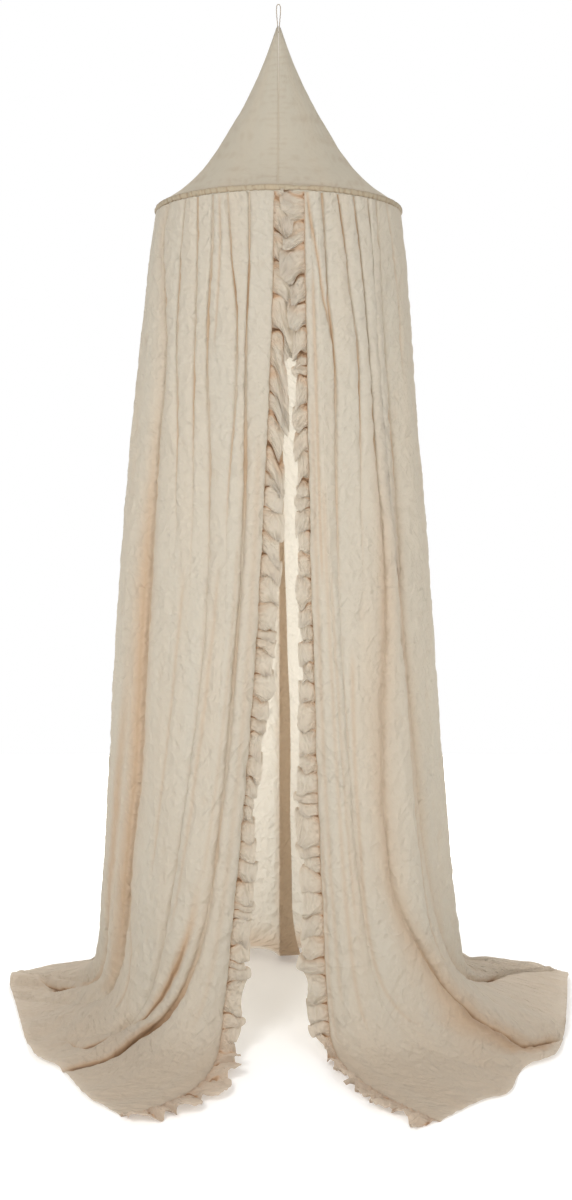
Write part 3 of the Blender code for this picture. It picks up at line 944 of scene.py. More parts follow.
LEFT_FOLDS = Table(FOLD_COLUMNS, (
    (0.00, 0.12, 0.004, 0.010, 0.009, 0.004),
    (0.12, 0.19, 0.005, 0.002, 0.000, 0.000),
    (0.12, 0.25, 0.000, 0.007, 0.012, 0.008),
    (0.19, 0.25, 0.005, 0.001, 0.000, 0.000),
    (0.25, 0.29, 0.005, 0.001, 0.000, 0.000),
    (0.25, 0.40, 0.000, 0.010, 0.010, 0.004),
    (0.29, 0.34, 0.005, 0.001, 0.000, 0.000),
    (0.34, 0.40, 0.005, 0.001, 0.000, 0.000),
    (0.40, 0.51, 0.006, 0.018, 0.014, 0.006),
    (0.46, 0.53, 0.000, 0.000, 0.006, 0.012),
    (0.51, 0.61, 0.012, 0.015, 0.024, 0.010),
    (0.61, 0.70, 0.012, 0.016, 0.018, 0.008),
    (0.70, 0.80, 0.010, 0.018, 0.016, 0.010),
    (0.80, 0.90, 0.013, 0.014, 0.018, 0.007),
    (0.90, 1.00, 0.010, 0.016, 0.014, 0.010),
))
RIGHT_FOLDS = Table(FOLD_COLUMNS, (
    (0.00, 0.17, 0.003, 0.008, 0.006, 0.003),
    (0.07, 0.17, 0.005, 0.001, 0.000, 0.000),
    (0.17, 0.22, 0.006, 0.001, 0.000, 0.000),
    (0.17, 0.28, 0.000, 0.007, 0.010, 0.004),
    (0.22, 0.28, 0.006, 0.001, 0.000, 0.000),
    (0.28, 0.34, 0.006, 0.004, 0.000, 0.000),
    (0.28, 0.41, 0.000, 0.009, 0.017, 0.014),
    (0.34, 0.41, 0.005, 0.002, 0.000, 0.000),
    (0.41, 0.53, 0.005, 0.016, 0.016, 0.003),
    (0.53, 0.63, 0.011, 0.016, 0.013, 0.009),
    (0.63, 0.71, 0.011, 0.015, 0.016, 0.007),
    (0.71, 0.80, 0.012, 0.017, 0.016, 0.010),
    (0.80, 0.90, 0.010, 0.015, 0.018, 0.007),
    (0.90, 1.00, 0.012, 0.016, 0.014, 0.010),
))


def ramp(at: Array, span: Pair) -> Array:
    """Eases from 0 to 1, from the span's first value on and over a stretch of its second."""
    return eased((at - span[0]) / span[1])


@dataclass(frozen=True)
class Guide:
    """Where the trough between two folds really runs: share of cloth at each row.

    Its depth, the painted shade of its line, the broad painted shade beside it and their widths
    each have three values: near the band, half way down, and on the floor.
    """

    trough: float
    path: tuple[Pair, ...]
    depth: Triple
    # Painted shade: the thin line in the trough and the broad band beside it.
    painted_shade: Triple
    side_shade: Triple = (0.0, 0.0, 0.0)
    width: Triple = (0.0026, 0.0045, 0.0065)
    line: Triple = (0.0012, 0.0026, 0.0110)
    broad: Triple = (0.010, 0.010, 0.010)
    lean: float = 0.0
    until: float = 2.2
    fade: float = 0.2
    trough_power: float = 1.4
    side_shade_power: float = 1.5
    patchy: float = 0.35
    patch_rate: float = 29.0
    patch_start: float = 90.0
    patch_end: Pair = (0.8, 0.2)

    def share(self, row: Array) -> Array:
        """Share of cloth at a row."""
        rows, shares = zip(*self.path)
        return smooth(row, np.array(rows), np.array(shares))

    def down(self, values: Triple, row: Array) -> Array:
        """Eases from the first value to the second and the third, down the cloth."""
        first = values[0] + (values[1] - values[0]) * ramp(row, MID_RAMP)
        return first + (values[2] - values[1]) * ramp(row, FLOOR_RAMP)

    def cut(self, share: Array, row: Array, size: Array) -> tuple[Array, Array]:
        """A sharp trough, a thin line of painted shade in it that comes and goes, and a broad painted
        shade beside it.

        All three fall off as a bell of the distance from the line. The broad shade's middle lies lean
        times its width to one side, and everything ends at the row until.

        Args:
            share: share of cloth at each point.
            row: row of the curtain at each point.
            size: metres of cloth for a whole share at each point.

        Returns:
            How far the cloth sinks and how dark its painted shade is.
        """
        away = (share - self.share(row)) * size
        ends = eased((self.until - row) / self.fade + 0.5)
        trough = np.exp(-np.abs(away / self.down(self.width, row)) ** self.trough_power)
        thin = self.down(self.painted_shade, row) * np.exp(-(away / self.down(self.line, row)) ** 2)
        patchy = self.patchy * (1 - ramp(row, self.patch_end))
        wave = np.sin(self.patch_rate * row + self.patch_start * self.trough)
        thin = thin * (1 - patchy + patchy * wave)
        beside = np.abs(away / self.down(self.broad, row) - self.lean)
        wide = self.down(self.side_shade, row) * np.exp(-beside ** self.side_shade_power)
        return self.down(self.depth, row) * trough * ends, np.maximum(thin, wide) * ends


@dataclass(frozen=True)
class Crease:
    """A crease laid on the cloth: points of share and row, its depth and its half width."""

    path: tuple[Pair, ...]
    depth: float
    width: float
    # Painted shade along the crease, and how much narrower it is than the trough.
    painted_shade: float = 0.4
    fade: float = 0.05
    shade_narrowing: float = 2.5

    def cut(self, share: Array, row: Array, size: Array) -> tuple[Array, Array]:
        """Depth times a bell of the distance to the line, fading at both of its ends.

        Args:
            share: share of cloth at each point.
            row: row of the curtain at each point.
            size: metres of cloth for a whole share at each point.

        Returns:
            How far the cloth sinks and how dark its painted shade is.
        """
        shares, rows = zip(*self.path)
        line = smooth(row, np.array(rows), np.array(shares))
        away = (share - line) * size / self.width
        ends = eased((row - rows[0]) / self.fade + 0.5) * eased((rows[-1] - row) / self.fade + 0.5)
        painted_shade = self.painted_shade * np.exp(-self.shade_narrowing * away ** 2)
        return self.depth * np.exp(-(away ** 2)) * ends, painted_shade * ends


LEFT_GUIDES = (
    Guide(0.12, ((0.0, 0.123), (0.085, 0.129), (0.177, 0.143), (0.263, 0.143), (0.38, 0.131),
                 (0.48, 0.126), (0.55, 0.122), (0.665, 0.108), (0.745, 0.104), (0.828, 0.100),
                 (0.873, 0.106), (0.938, 0.124), (1.0, 0.137), (1.105, 0.140), (1.6, 0.115),
                 (2.0, 0.118)), (0.004, 0.003, 0.011), (0.8, 0.4, 1.0), (0.0, 0.2, 0.35), until=1.97),
    Guide(0.19, ((0.0, 0.188), (0.085, 0.184), (0.145, 0.174), (0.21, 0.178), (0.38, 0.200),
                 (0.50, 0.186), (0.7, 0.19), (2.0, 0.19)), (0.004, 0.0, 0.0), (0.8, 0.0, 0.0)),
    Guide(0.25, ((0.0, 0.255), (0.065, 0.260), (0.152, 0.272), (0.223, 0.270), (0.302, 0.257),
                 (0.36, 0.251), (0.49, 0.241), (0.6, 0.242), (0.8, 0.25), (2.0, 0.25)),
          (0.004, 0.001, 0.0), (0.7, 0.15, 0.0)),
    Guide(0.29, ((0.0, 0.302), (0.10, 0.303), (0.203, 0.306), (0.4, 0.29), (2.0, 0.29)),
          (0.0035, 0.0, 0.0), (0.7, 0.0, 0.0)),
    Guide(0.34, ((0.0, 0.341), (0.077, 0.358), (0.128, 0.362), (0.3, 0.345), (2.0, 0.34)),
          (0.0035, 0.0, 0.0), (0.7, 0.0, 0.0)),
    Guide(0.40, ((0.0, 0.408), (0.022, 0.424), (0.095, 0.416), (0.17, 0.398), (0.3, 0.403),
                 (0.485, 0.404), (0.595, 0.402), (0.693, 0.397), (0.795, 0.406), (0.883, 0.406),
                 (1.0, 0.40), (2.0, 0.40)), (0.005, 0.006, 0.004), (0.8, 0.6, 0.3),
          (0.15, 0.65, 0.3), broad=(0.010, 0.022, 0.030), lean=0.55, until=1.1),
)
LEFT_CREASES = (
    Crease(((0.160, 0.86), (0.205, 0.96), (0.245, 1.15), (0.228, 1.40), (0.200, 1.58), (0.205, 1.68),
            (0.25, 1.75)), 0.012, 0.015, 0.95, 0.16),
    Crease(((0.470, 0.88), (0.478, 1.20), (0.474, 1.44), (0.460, 1.61), (0.50, 1.76)), 0.019, 0.020, 1.0,
           0.08),
    Crease(((0.43, 0.60), (0.455, 0.85), (0.490, 1.05), (0.500, 1.35)), 0.004, 0.030, 0.55, 0.3),
    Crease(((0.408, 0.86), (0.365, 0.915), (0.33, 0.965), (0.315, 1.03)), 0.005, 0.009),
    Crease(((0.225, 0.0), (0.233, 0.085), (0.248, 0.175)), 0.003, 0.0045),
    Crease(((0.058, 0.30), (0.052, 0.55), (0.050, 0.80), (0.060, 1.00)), 0.0022, 0.010, 0.2),
    Crease(((0.155, 0.42), (0.150, 0.62), (0.144, 0.80)), 0.0018, 0.008, 0.2),
    Crease(((0.215, 0.45), (0.222, 0.60), (0.226, 0.86)), 0.0018, 0.007, 0.25),
    Crease(((0.305, 0.46), (0.312, 0.60), (0.322, 0.80)), 0.0018, 0.007, 0.25),
)
LEFT_LAP = Table("row width", (
    (0.0, 0.004), (0.226, 0.006), (0.5, 0.015), (0.67, 0.024), (0.774, 0.025),
    (0.875, 0.029), (0.943, 0.033), (1.0, 0.045), (1.3, 0.020),
))
RIGHT_GUIDES = (
    Guide(0.17, ((0.0, 0.174), (0.065, 0.181), (0.118, 0.184), (0.168, 0.193), (0.208, 0.197),
                 (0.263, 0.194), (0.34, 0.188), (0.55, 0.175), (0.8, 0.17), (2.0, 0.17)),
          (0.005, 0.001, 0.0), (0.85, 0.2, 0.0)),
    Guide(0.22, ((0.0, 0.224), (0.065, 0.239), (0.113, 0.244), (0.175, 0.256), (0.25, 0.25),
                 (0.4, 0.235), (0.6, 0.215), (0.8, 0.203), (1.0, 0.22), (2.0, 0.22)),
          (0.004, 0.0, 0.0), (0.8, 0.0, 0.0)),
    Guide(0.28, ((0.0, 0.286), (0.075, 0.292), (0.152, 0.295), (0.223, 0.292), (0.34, 0.288),
                 (0.40, 0.290), (0.458, 0.285), (0.552, 0.266), (0.645, 0.248), (0.738, 0.238),
                 (0.83, 0.240), (0.863, 0.252), (0.895, 0.266), (0.943, 0.284), (0.99, 0.290),
                 (1.19, 0.284), (1.48, 0.275), (1.70, 0.255), (1.80, 0.264), (2.0, 0.28)),
          (0.004, 0.004, 0.017), (0.8, 0.4, 1.0), (0.0, 0.45, 0.70),
          broad=(0.010, 0.022, 0.060), lean=-0.35, until=1.93),
    Guide(0.34, ((0.0, 0.352), (0.15, 0.358), (0.35, 0.355), (0.6, 0.33), (0.8, 0.305),
                 (1.0, 0.34), (2.0, 0.34)), (0.003, 0.0, 0.0), (0.6, 0.0, 0.0)),
    Guide(0.41, ((0.0, 0.416), (0.07, 0.419), (0.14, 0.419), (0.188, 0.421), (0.253, 0.424),
                 (0.32, 0.425), (0.42, 0.415), (0.53, 0.385), (0.62, 0.365), (0.72, 0.350),
                 (0.80, 0.350), (0.868, 0.360), (0.92, 0.375), (1.0, 0.405), (1.18, 0.432),
                 (1.30, 0.447), (1.42, 0.475), (1.52, 0.500), (2.0, 0.505)),
          (0.004, 0.004, 0.014), (0.8, 0.4, 1.0), (0.0, 0.45, 0.6),
          broad=(0.010, 0.018, 0.036), lean=-0.3, until=1.5),
)
RIGHT_CREASES = (
    Crease(((0.037, 0.0), (0.060, 0.030), (0.113, 0.080), (0.165, 0.118), (0.190, 0.165)), 0.005,
           0.0045, 0.7),
    Crease(((0.445, 0.0), (0.456, 0.052), (0.461, 0.115), (0.455, 0.20)), 0.004, 0.0045),
    Crease(((0.322, 0.50), (0.340, 0.56), (0.322, 0.675), (0.311, 0.795), (0.300, 0.868),
            (0.316, 0.95)), 0.003, 0.007, 0.3),
    Crease(((0.105, 0.35), (0.100, 0.55), (0.092, 0.80), (0.098, 1.0)), 0.0025, 0.007, 0.25),
    Crease(((0.05, 0.25), (0.045, 0.45), (0.040, 0.70), (0.046, 0.95)), 0.0025, 0.007, 0.25),
    Crease(((0.145, 0.45), (0.135, 0.65), (0.128, 0.85)), 0.0025, 0.007, 0.25),
    Crease(((0.195, 0.55), (0.180, 0.72), (0.176, 0.92), (0.20, 1.05)), 0.0028, 0.007, 0.3),
    Crease(((0.075, 0.10), (0.078, 0.25), (0.075, 0.45)), 0.0025, 0.005),
    Crease(((0.018, 0.75), (0.014, 0.90), (0.020, 1.10)), 0.0022, 0.006, 0.25),
)


@dataclass(frozen=True)
class Curtain:
    """One long curtain, gathered to the hoop, hanging to the floor and lying out on it.

    The cut is its width at the hem by its longest line, and the area that of the whole sheet,
    all as the finished mesh measures. The cloth widens from the band to the hem.
    """

    side: Side
    lines: Table
    folds: Table
    guides: tuple[Guide, ...]
    creases: tuple[Crease, ...]
    seed: int
    cut: Pair
    area: float
    lap: Table | None = None
    mid_height: float = 0.800
    gather_drop: float = 0.055
    gather_start: float = 0.40
    fold_crown: float = 3.0
    share_step: float = 0.004
    seam_edge: float = 0.0007
    floor_lift: float = 0.0013
    rows: Counts = (226, 64)
    columns: int = 336
    guided: float = 0.53
    behind_weight: float = 0.33
    fine_band: float = 0.006
    fine_weight: float = 2.2
    warp: Swell = Swell(0.02, 0.10, 0.14)
    long_swell: Swell = Swell(0.0020, 0.085, 0.42)
    short_swell: Swell = Swell(0.0013, 0.050, 0.10)
    crinkle: Swell = Swell(0.0007, 0.042, 0.11, sharp=True)
    slant_crinkle: Swell = Swell(0.0010, 0.040, 0.050, lean=0.5, sway=-0.6, sharp=True)
    fine_crinkle: Swell = Swell(0.0008, 0.024, 0.034, lean=-0.6, sway=0.5, sharp=True)
    gather: Swell = Swell(0.0009, 0.011, 0.09, sharp=True)
    gather_length: float = 0.10
    lying_calm: float = 0.5
    lap_steps: int = 8
    lap_inset: float = 0.0035
    lap_wave: Swell = Swell(0.0025, 1 / 9, 1 / 1.5)
    lap_ramp: Pair = (0.97, 0.06)
    lap_lift: float = 0.003
    # Painted shade on the lap, behind the other curtain.
    lap_shade: float = 0.55
    # Painted shade on cloth lying on the floor.
    lying_shade: float = 0.27
    hem: float = 0.011
    hem_swell: float = 0.0008
    hem_step: float = 0.002
    stitch_dip: float = 0.0006
    edge_roll: float = 0.0032
    edge_width: float = 0.0035
    # Painted shadow line along the front edge, where the ruffle is sewn: strength, middle and width.
    edge_shade: float = 0.62
    edge_line: Pair = (0.001, 0.0022)
    # Painted shade in the hollows of the relief.
    trough_shade: float = 0.22
    trough_window: Counts = (3, 5)
    trough_depth: float = 0.0055
    # Painted shade at the foot of the back cloth, where it bends onto the floor.
    foot_shade: float = 0.5
    foot_line: Pair = (0.99, 0.03)
    foot_ramp: Pair = (0.72, 0.10)
    upward: float = 1.2

    def hanging(self, share: Array, height: Array) -> list[Array]:
        """Plan place at a height: one parabola through the hoop, mid height and foot places.

        Args:
            share: share across the cloth.
            height: height above the floor.

        Returns:
            x away from the opening, and y.
        """
        angle = np.radians(self.lines.read(share, "hoop", "share"))
        h = height / CURTAIN_TOP
        mid = self.mid_height / CURTAIN_TOP
        at_foot = (h - mid) * (h - 1) / mid
        at_mid = h * (h - 1) / (mid * (mid - 1))
        at_hoop = h * (h - mid) / (1 - mid)
        top = (HOOP_RADIUS * np.sin(angle), -HOOP_RADIUS * np.cos(angle))
        return [at_hoop * top[k] + at_mid * self.lines.read(share, "mid_" + name, "share")
                + at_foot * self.lines.read(share, "foot_" + name, "share")
                for k, name in enumerate("xy")]

    def lying(self, share: Array, t: Array) -> list[Array]:
        """Plan shift from the foot: one parabola through the run and hem places.

        Args:
            share: share across the cloth.
            t: share of the way from foot to hem.

        Returns:
            Shift in x and in y.
        """
        shift = []
        for axis in "xy":
            foot = self.lines.read(share, "foot_" + axis, "share")
            run = self.lines.read(share, "run_" + axis, "share") - foot
            hem = self.lines.read(share, "hem_" + axis, "share") - foot
            shift.append(t * (4 * run - hem) + t * t * (2 * hem - 4 * run))
        return shift

    def lying_length(self, share: Array) -> Array:
        """Length of cloth on the floor, taken as two straight halves."""
        half, end = self.lying(share, 0.5), self.lying(share, 1.0)
        return np.hypot(*half) + np.hypot(end[0] - half[0], end[1] - half[1])

    def column_shares(self) -> Array:
        """Table shares of the columns: closer at the front, and closest beside each trough.

        Returns:
            One share for each column, from 0 to 1.
        """
        fine = np.linspace(0, 1, 4001)
        weight = np.where(fine < self.guided, 1.0, self.behind_weight)
        for guide in self.guides:
            near = np.exp(-((fine - guide.trough) / self.fine_band) ** 2)
            weight = weight + self.fine_weight * near
        total = np.cumsum(weight)
        total = (total - total[0]) / (total[-1] - total[0])
        return np.interp(np.linspace(0, 1, self.columns), total, fine)

    def real_share(self, named: Array, row: Array) -> Array:
        """Moves the columns so that the troughs of the fold table run along their guides.

        Args:
            named: share that the fold table is read at.
            row: row of the curtain.

        Returns:
            The real share across the cloth.
        """
        marks = [0.0] + [guide.trough for guide in self.guides] + [self.guided]
        places = [0 * row] + [guide.share(row) for guide in self.guides] + [0 * row + self.guided]
        real = named + 0 * row
        for k in range(len(marks) - 1):
            inside = (named >= marks[k]) & (named < marks[k + 1])
            part = (named - marks[k]) / (marks[k + 1] - marks[k])
            real = np.where(inside, places[k] + part * (places[k + 1] - places[k]), real)
        return real

    def fold_relief(self, share: Array, height: Array, t: Array) -> Array:
        """Sum of the folds: each 1 less a power of the distance from its middle, so that it is
        broad on top and steep beside its troughs, with a height that eases down the cloth.

        Args:
            share: share across the cloth, as the fold table has it.
            height: height above the floor.
            t: share of the way from foot to hem.

        Returns:
            How far the cloth stands out from its base.
        """
        total = np.zeros(np.broadcast(share, height).shape)
        fall = np.clip(1 - height / CURTAIN_TOP, 0, 1)
        mid = 1 - self.mid_height / CURTAIN_TOP
        for values in self.folds.rows:
            fold = dict(zip(FOLD_COLUMNS.split(), values))
            across = np.clip((share - fold["start"]) / (fold["end"] - fold["start"]), 0, 1)
            arch = 1 - np.abs(2 * across - 1) ** self.fold_crown
            deep = fold["top"] + (fold["mid"] - fold["top"]) * eased(fall / mid)
            deep = deep + (fold["foot"] - fold["mid"]) * eased((fall - mid) / (1 - mid))
            deep = deep + (fold["hem"] - fold["foot"]) * eased(t)
            total = total + arch * deep
        drop = CURTAIN_TOP - height
        return total * (1 - (1 - self.gather_start) * np.exp(-drop / self.gather_drop))

    def base(self, named: Array, row: Array) -> tuple[Array, Array, Array]:
        """The curtain with its folds: row 0 at the band, 1 at the floor and 2 at the hem.

        Args:
            named: share that the fold table is read at, 0 at the front edge and 1 at the back seam.
            row: row of the curtain.

        Returns:
            Points, the height of the folds at each, and how flat on the floor each lies.
        """
        share = self.real_share(named, row)
        length = self.lying_length(share)
        along = np.where(row < 1, (row - 1) * CURTAIN_TOP, (row - 1) * length)
        bend = self.lines.read(share, "bend", "share")
        height = np.minimum(bend * np.logaddexp(0, -along / bend), CURTAIN_TOP)
        t = np.minimum(bend * np.logaddexp(0, along / bend) / length, 1.0)
        x, y = [a + b for a, b in zip(self.hanging(share, height), self.lying(share, t))]
        ahead = [a + b for a, b in zip(self.hanging(share + self.share_step, height),
                                       self.lying(share + self.share_step, t))]
        behind = [a + b for a, b in zip(self.hanging(share - self.share_step, height),
                                        self.lying(share - self.share_step, t))]
        across = [a - b for a, b in zip(ahead, behind)]
        size = np.maximum(np.hypot(*across), 1e-9)
        flat = 1 / (1 + np.exp(-along / bend))
        hung = 1 - flat
        out = unit(np.stack([across[1] / size * hung, -across[0] / size * hung, flat], axis=-1))
        relief = self.fold_relief(named, height, t)
        points = np.stack([x, y, height + self.floor_lift], axis=-1) + out * relief[..., None]
        return points, relief, flat

    def laid_creases(self, share: Array, row: Array, size: Array) -> tuple[Array, Array]:
        """All the listed creases: the guides first, then the free ones.

        Args:
            share: share across the cloth.
            row: row of the curtain.
            size: metres of cloth for a whole share.

        Returns:
            How far the cloth sinks at each point, and how dark its painted shade is.
        """
        sunk, painted_shade = np.zeros(share.shape), np.zeros(share.shape)
        for line in self.guides + self.creases:
            depth, dark = line.cut(share, row, size)
            sunk, painted_shade = sunk + depth, np.maximum(painted_shade, dark)
        return sunk, painted_shade

    def crumple(self, across: Array, along: Array, flat: Array) -> Array:
        """Soft swells and sharp-edged crinkles of washed cotton, and short gathers at the band.

        Args:
            across: metres across the cloth.
            along: metres down the cloth.
            flat: how flat on the floor it lies.

        Returns:
            Relief in metres.
        """
        seed = self.seed
        warp = self.warp.height(across, along, seed + 1)
        below_band = eased(along / self.gather_length)
        washed = (
            (1 - self.lying_calm * flat) * self.long_swell.height(across, along, seed + 2)
            + self.short_swell.height(across + warp, along - warp, seed + 3)
            + self.crinkle.height(across + warp, along + warp, seed + 4)
            + self.slant_crinkle.height(across, along, seed + 5)
            + self.fine_crinkle.height(across, along, seed + 6))
        return below_band * washed + (1 - below_band) * self.gather.height(across, along, seed + 7)

    def hem_relief(self, to_hem: Array) -> Array:
        """The turned hem, a little raised, with the dip of its stitches along the top.

        Args:
            to_hem: metres of cloth down to the edge.

        Returns:
            Relief in metres.
        """
        turned = eased(to_hem / self.hem_step) - eased((to_hem - self.hem) / self.hem_step)
        stitches = np.exp(-((to_hem - self.hem) / self.hem_step) ** 2)
        return self.hem_swell * turned - self.stitch_dip * stitches

    def troughs(self, painted_shade: Array, relief: Array, across: Array, share: Array, row: Array,
                flat: Array) -> Array:
        """The largest of five painted shades: creases, hollows, front edge, back foot and lying cloth.

        Args:
            painted_shade: painted shade of the listed creases.
            relief: folds and crumple together, in metres.
            across: metres across the cloth.
            share: share across the cloth.
            row: row of the curtain.
            flat: how flat on the floor it lies.

        Returns:
            Painted shade from 0 to 1.
        """
        # Each layer is painted shade: hollows of the relief, the line along the front edge, the bend at
        # the back foot and the cloth lying on the floor.
        low = self.trough_shade * hollows(relief, self.trough_window, self.trough_depth)
        middle, width = self.edge_line
        edge = self.edge_shade * np.exp(-((across - middle) / width) ** 2)
        middle, width = self.foot_line
        foot = np.exp(-((row - middle) / width) ** 2) * ramp(share, self.foot_ramp)
        layers = (painted_shade, low, edge, self.foot_shade * foot, self.lying_shade * flat)
        return np.maximum.reduce(layers)

    def grid(self) -> tuple[Array, Array, Array]:
        """The whole sheet, its cloth coordinates and its painted shade.

        Returns:
            Points in the row frame, cloth coordinates in metres, painted shade from 0 to 1.
        """
        rows = np.concatenate([np.linspace(0, 1, self.rows[0], endpoint=False),
                               np.linspace(1, 2, self.rows[1])])
        row, named = np.meshgrid(rows, self.column_shares(), indexing="ij")
        points, folds, flat = self.base(named, row)
        share = self.real_share(named, row)
        size = np.linalg.norm(np.gradient(points, axis=1), axis=-1)
        size = size / np.maximum(np.gradient(share, axis=1), 1e-5)
        across = cell_steps(points, 1)
        along = cell_steps(points, 0)
        sunk, painted_shade = self.laid_creases(share, row, size)
        relief = self.crumple(across, along, flat) - sunk + self.hem_relief(along[-1:] - along)
        relief = relief - self.edge_roll * np.exp(-(across / self.edge_width) ** 2)
        normal = grid_normals(points)
        facing = normal * np.sign(np.sum(normal * self.outward(share, flat), axis=-1, keepdims=True))
        points = points + facing * relief[..., None]
        points[..., 0] = np.maximum(points[..., 0], self.seam_edge)
        points[..., 2] = np.maximum(points[..., 2], FLOOR_CLEARANCE)
        hollow_shade = self.troughs(painted_shade, folds + relief, across, share, row, flat)
        points[..., 0] *= self.side.value
        points[..., 2] += FLOOR
        if self.lap is not None:
            points, along, across, hollow_shade = self.lapped(points, along, across, hollow_shade, rows)
        return points, np.stack([across, along], axis=-1), hollow_shade

    def outward(self, share: Array, flat: Array) -> Array:
        """Roughly outwards from the hoop's middle on the hanging cloth, and up on the floor.

        Args:
            share: share across the cloth.
            flat: how flat on the floor it lies.

        Returns:
            A direction for each point, not of unit length.
        """
        angle = np.radians(self.lines.read(share, "hoop", "share"))
        hung = 1 - flat
        return np.stack([np.sin(angle) * hung, -np.cos(angle) * hung, self.upward * flat], axis=-1)

    def lapped(self, points: Array, along: Array, across: Array, hollow_shade: Array,
               rows: Array) -> tuple[Array, Array, Array, Array]:
        """Carries the back edge on past the seam, inside the other curtain, by the lap table.

        Args:
            points: the sheet so far.
            along: metres down the cloth.
            across: metres across the cloth.
            hollow_shade: painted shade.
            rows: row of each line of points.

        Returns:
            The same four, with more columns.
        """
        width = self.lap.read(np.clip(rows, 0, self.lap.rows[-1][0]), "width", "row")[:, None]
        step = np.linspace(0, 1, self.lap_steps + 1)[None, 1:]
        wave = self.lap_wave.height(rows[:, None], step, self.seed + 9)
        last = points[:, -1:, :]
        reach = width * step
        extra = np.repeat(last, self.lap_steps, axis=1)
        extra[..., 0] = last[..., 0] - self.side.value * (reach + wave * step)
        extra[..., 1] = last[..., 1] - (self.lap_inset + wave) * eased(step * 3)
        lying = ramp(rows[:, None], self.lap_ramp)
        extra[..., 2] = last[..., 2] + self.lap_lift * lying * step
        points = np.concatenate([points, extra], axis=1)
        along = np.concatenate([along, np.repeat(along[:, -1:], self.lap_steps, axis=1)], axis=1)
        across = np.concatenate([across, across[:, -1:] + reach + 0 * along[:, :1]], axis=1)
        # Painted shade over the whole lap.
        painted_shade = np.full((len(rows), self.lap_steps), self.lap_shade)
        hollow_shade = np.concatenate([hollow_shade, painted_shade], axis=1)
        return points, along, across, hollow_shade

    def front_edge(self, row: Array) -> Array:
        """The front edge without its creases, in the row frame.

        Args:
            row: row of the curtain at each place.

        Returns:
            Points along the edge.
        """
        points, _, _ = self.base(0 * row, row)
        points[..., 0] *= self.side.value
        points[..., 2] += FLOOR
        return points

    def build(self, finish: bpy.types.Material) -> bpy.types.Object:
        """Args:
            finish: material of the cloth.

        Returns:
            The curtain.
        """
        points, uv, hollow_shade = self.grid()
        word = self.side.name.lower()
        obj = make_mesh(f"curtain_cloth_{word}", points, uv, hollow_shade, flip=self.side is Side.RIGHT)
        dress(obj, finish, (f"curtain_{word}",))
        return obj


# Ruffles

RUFFLE_COLUMNS = "row width lobe droop tilt lap"
LEFT_RUFFLE = Table(RUFFLE_COLUMNS, (
    (0.00, 0.040, 0.064, 0.012, 16.0, 0.10),
    (0.08, 0.042, 0.066, 0.052, 16.0, 0.26),
    (0.30, 0.037, 0.056, 0.044, 6.0, 0.28),
    (0.42, 0.037, 0.044, 0.014, 2.0, 0.30),
    (0.56, 0.038, 0.040, 0.006, 0.0, 0.30),
    (0.66, 0.029, 0.036, 0.006, 0.0, 0.30),
    (0.72, 0.021, 0.036, 0.008, 0.0, 0.28),
    (0.77, 0.033, 0.038, 0.006, 0.0, 0.28),
    (0.86, 0.036, 0.036, 0.004, 0.0, 0.28),
    (1.00, 0.036, 0.044, 0.002, 0.0, 0.24),
    (1.30, 0.046, 0.058, 0.000, 0.0, 0.11),
    (1.60, 0.058, 0.062, 0.000, 0.0, 0.10),
    (1.85, 0.056, 0.056, 0.000, 0.0, 0.10),
    (2.00, 0.042, 0.044, 0.000, 0.0, 0.10),
))
RIGHT_RUFFLE = Table(RUFFLE_COLUMNS, (
    (0.00, 0.052, 0.064, 0.008, 12.0, 0.08),
    (0.06, 0.046, 0.050, 0.016, 12.0, 0.24),
    (0.14, 0.030, 0.048, 0.014, 8.0, 0.28),
    (0.30, 0.027, 0.046, 0.012, 4.0, 0.28),
    (0.45, 0.026, 0.042, 0.008, 0.0, 0.30),
    (0.58, 0.028, 0.040, 0.004, 0.0, 0.30),
    (0.66, 0.036, 0.040, 0.002, 0.0, 0.30),
    (0.75, 0.044, 0.042, 0.000, 0.0, 0.30),
    (0.80, 0.036, 0.040, 0.000, 0.0, 0.28),
    (0.85, 0.044, 0.040, 0.000, 0.0, 0.28),
    (1.00, 0.032, 0.038, 0.000, 0.0, 0.26),
    (1.30, 0.026, 0.050, 0.000, 0.0, 0.11),
    (1.60, 0.040, 0.052, 0.000, 0.0, 0.10),
    (1.85, 0.050, 0.052, 0.000, 0.0, 0.10),
    (2.00, 0.052, 0.050, 0.000, 0.0, 0.10),
))


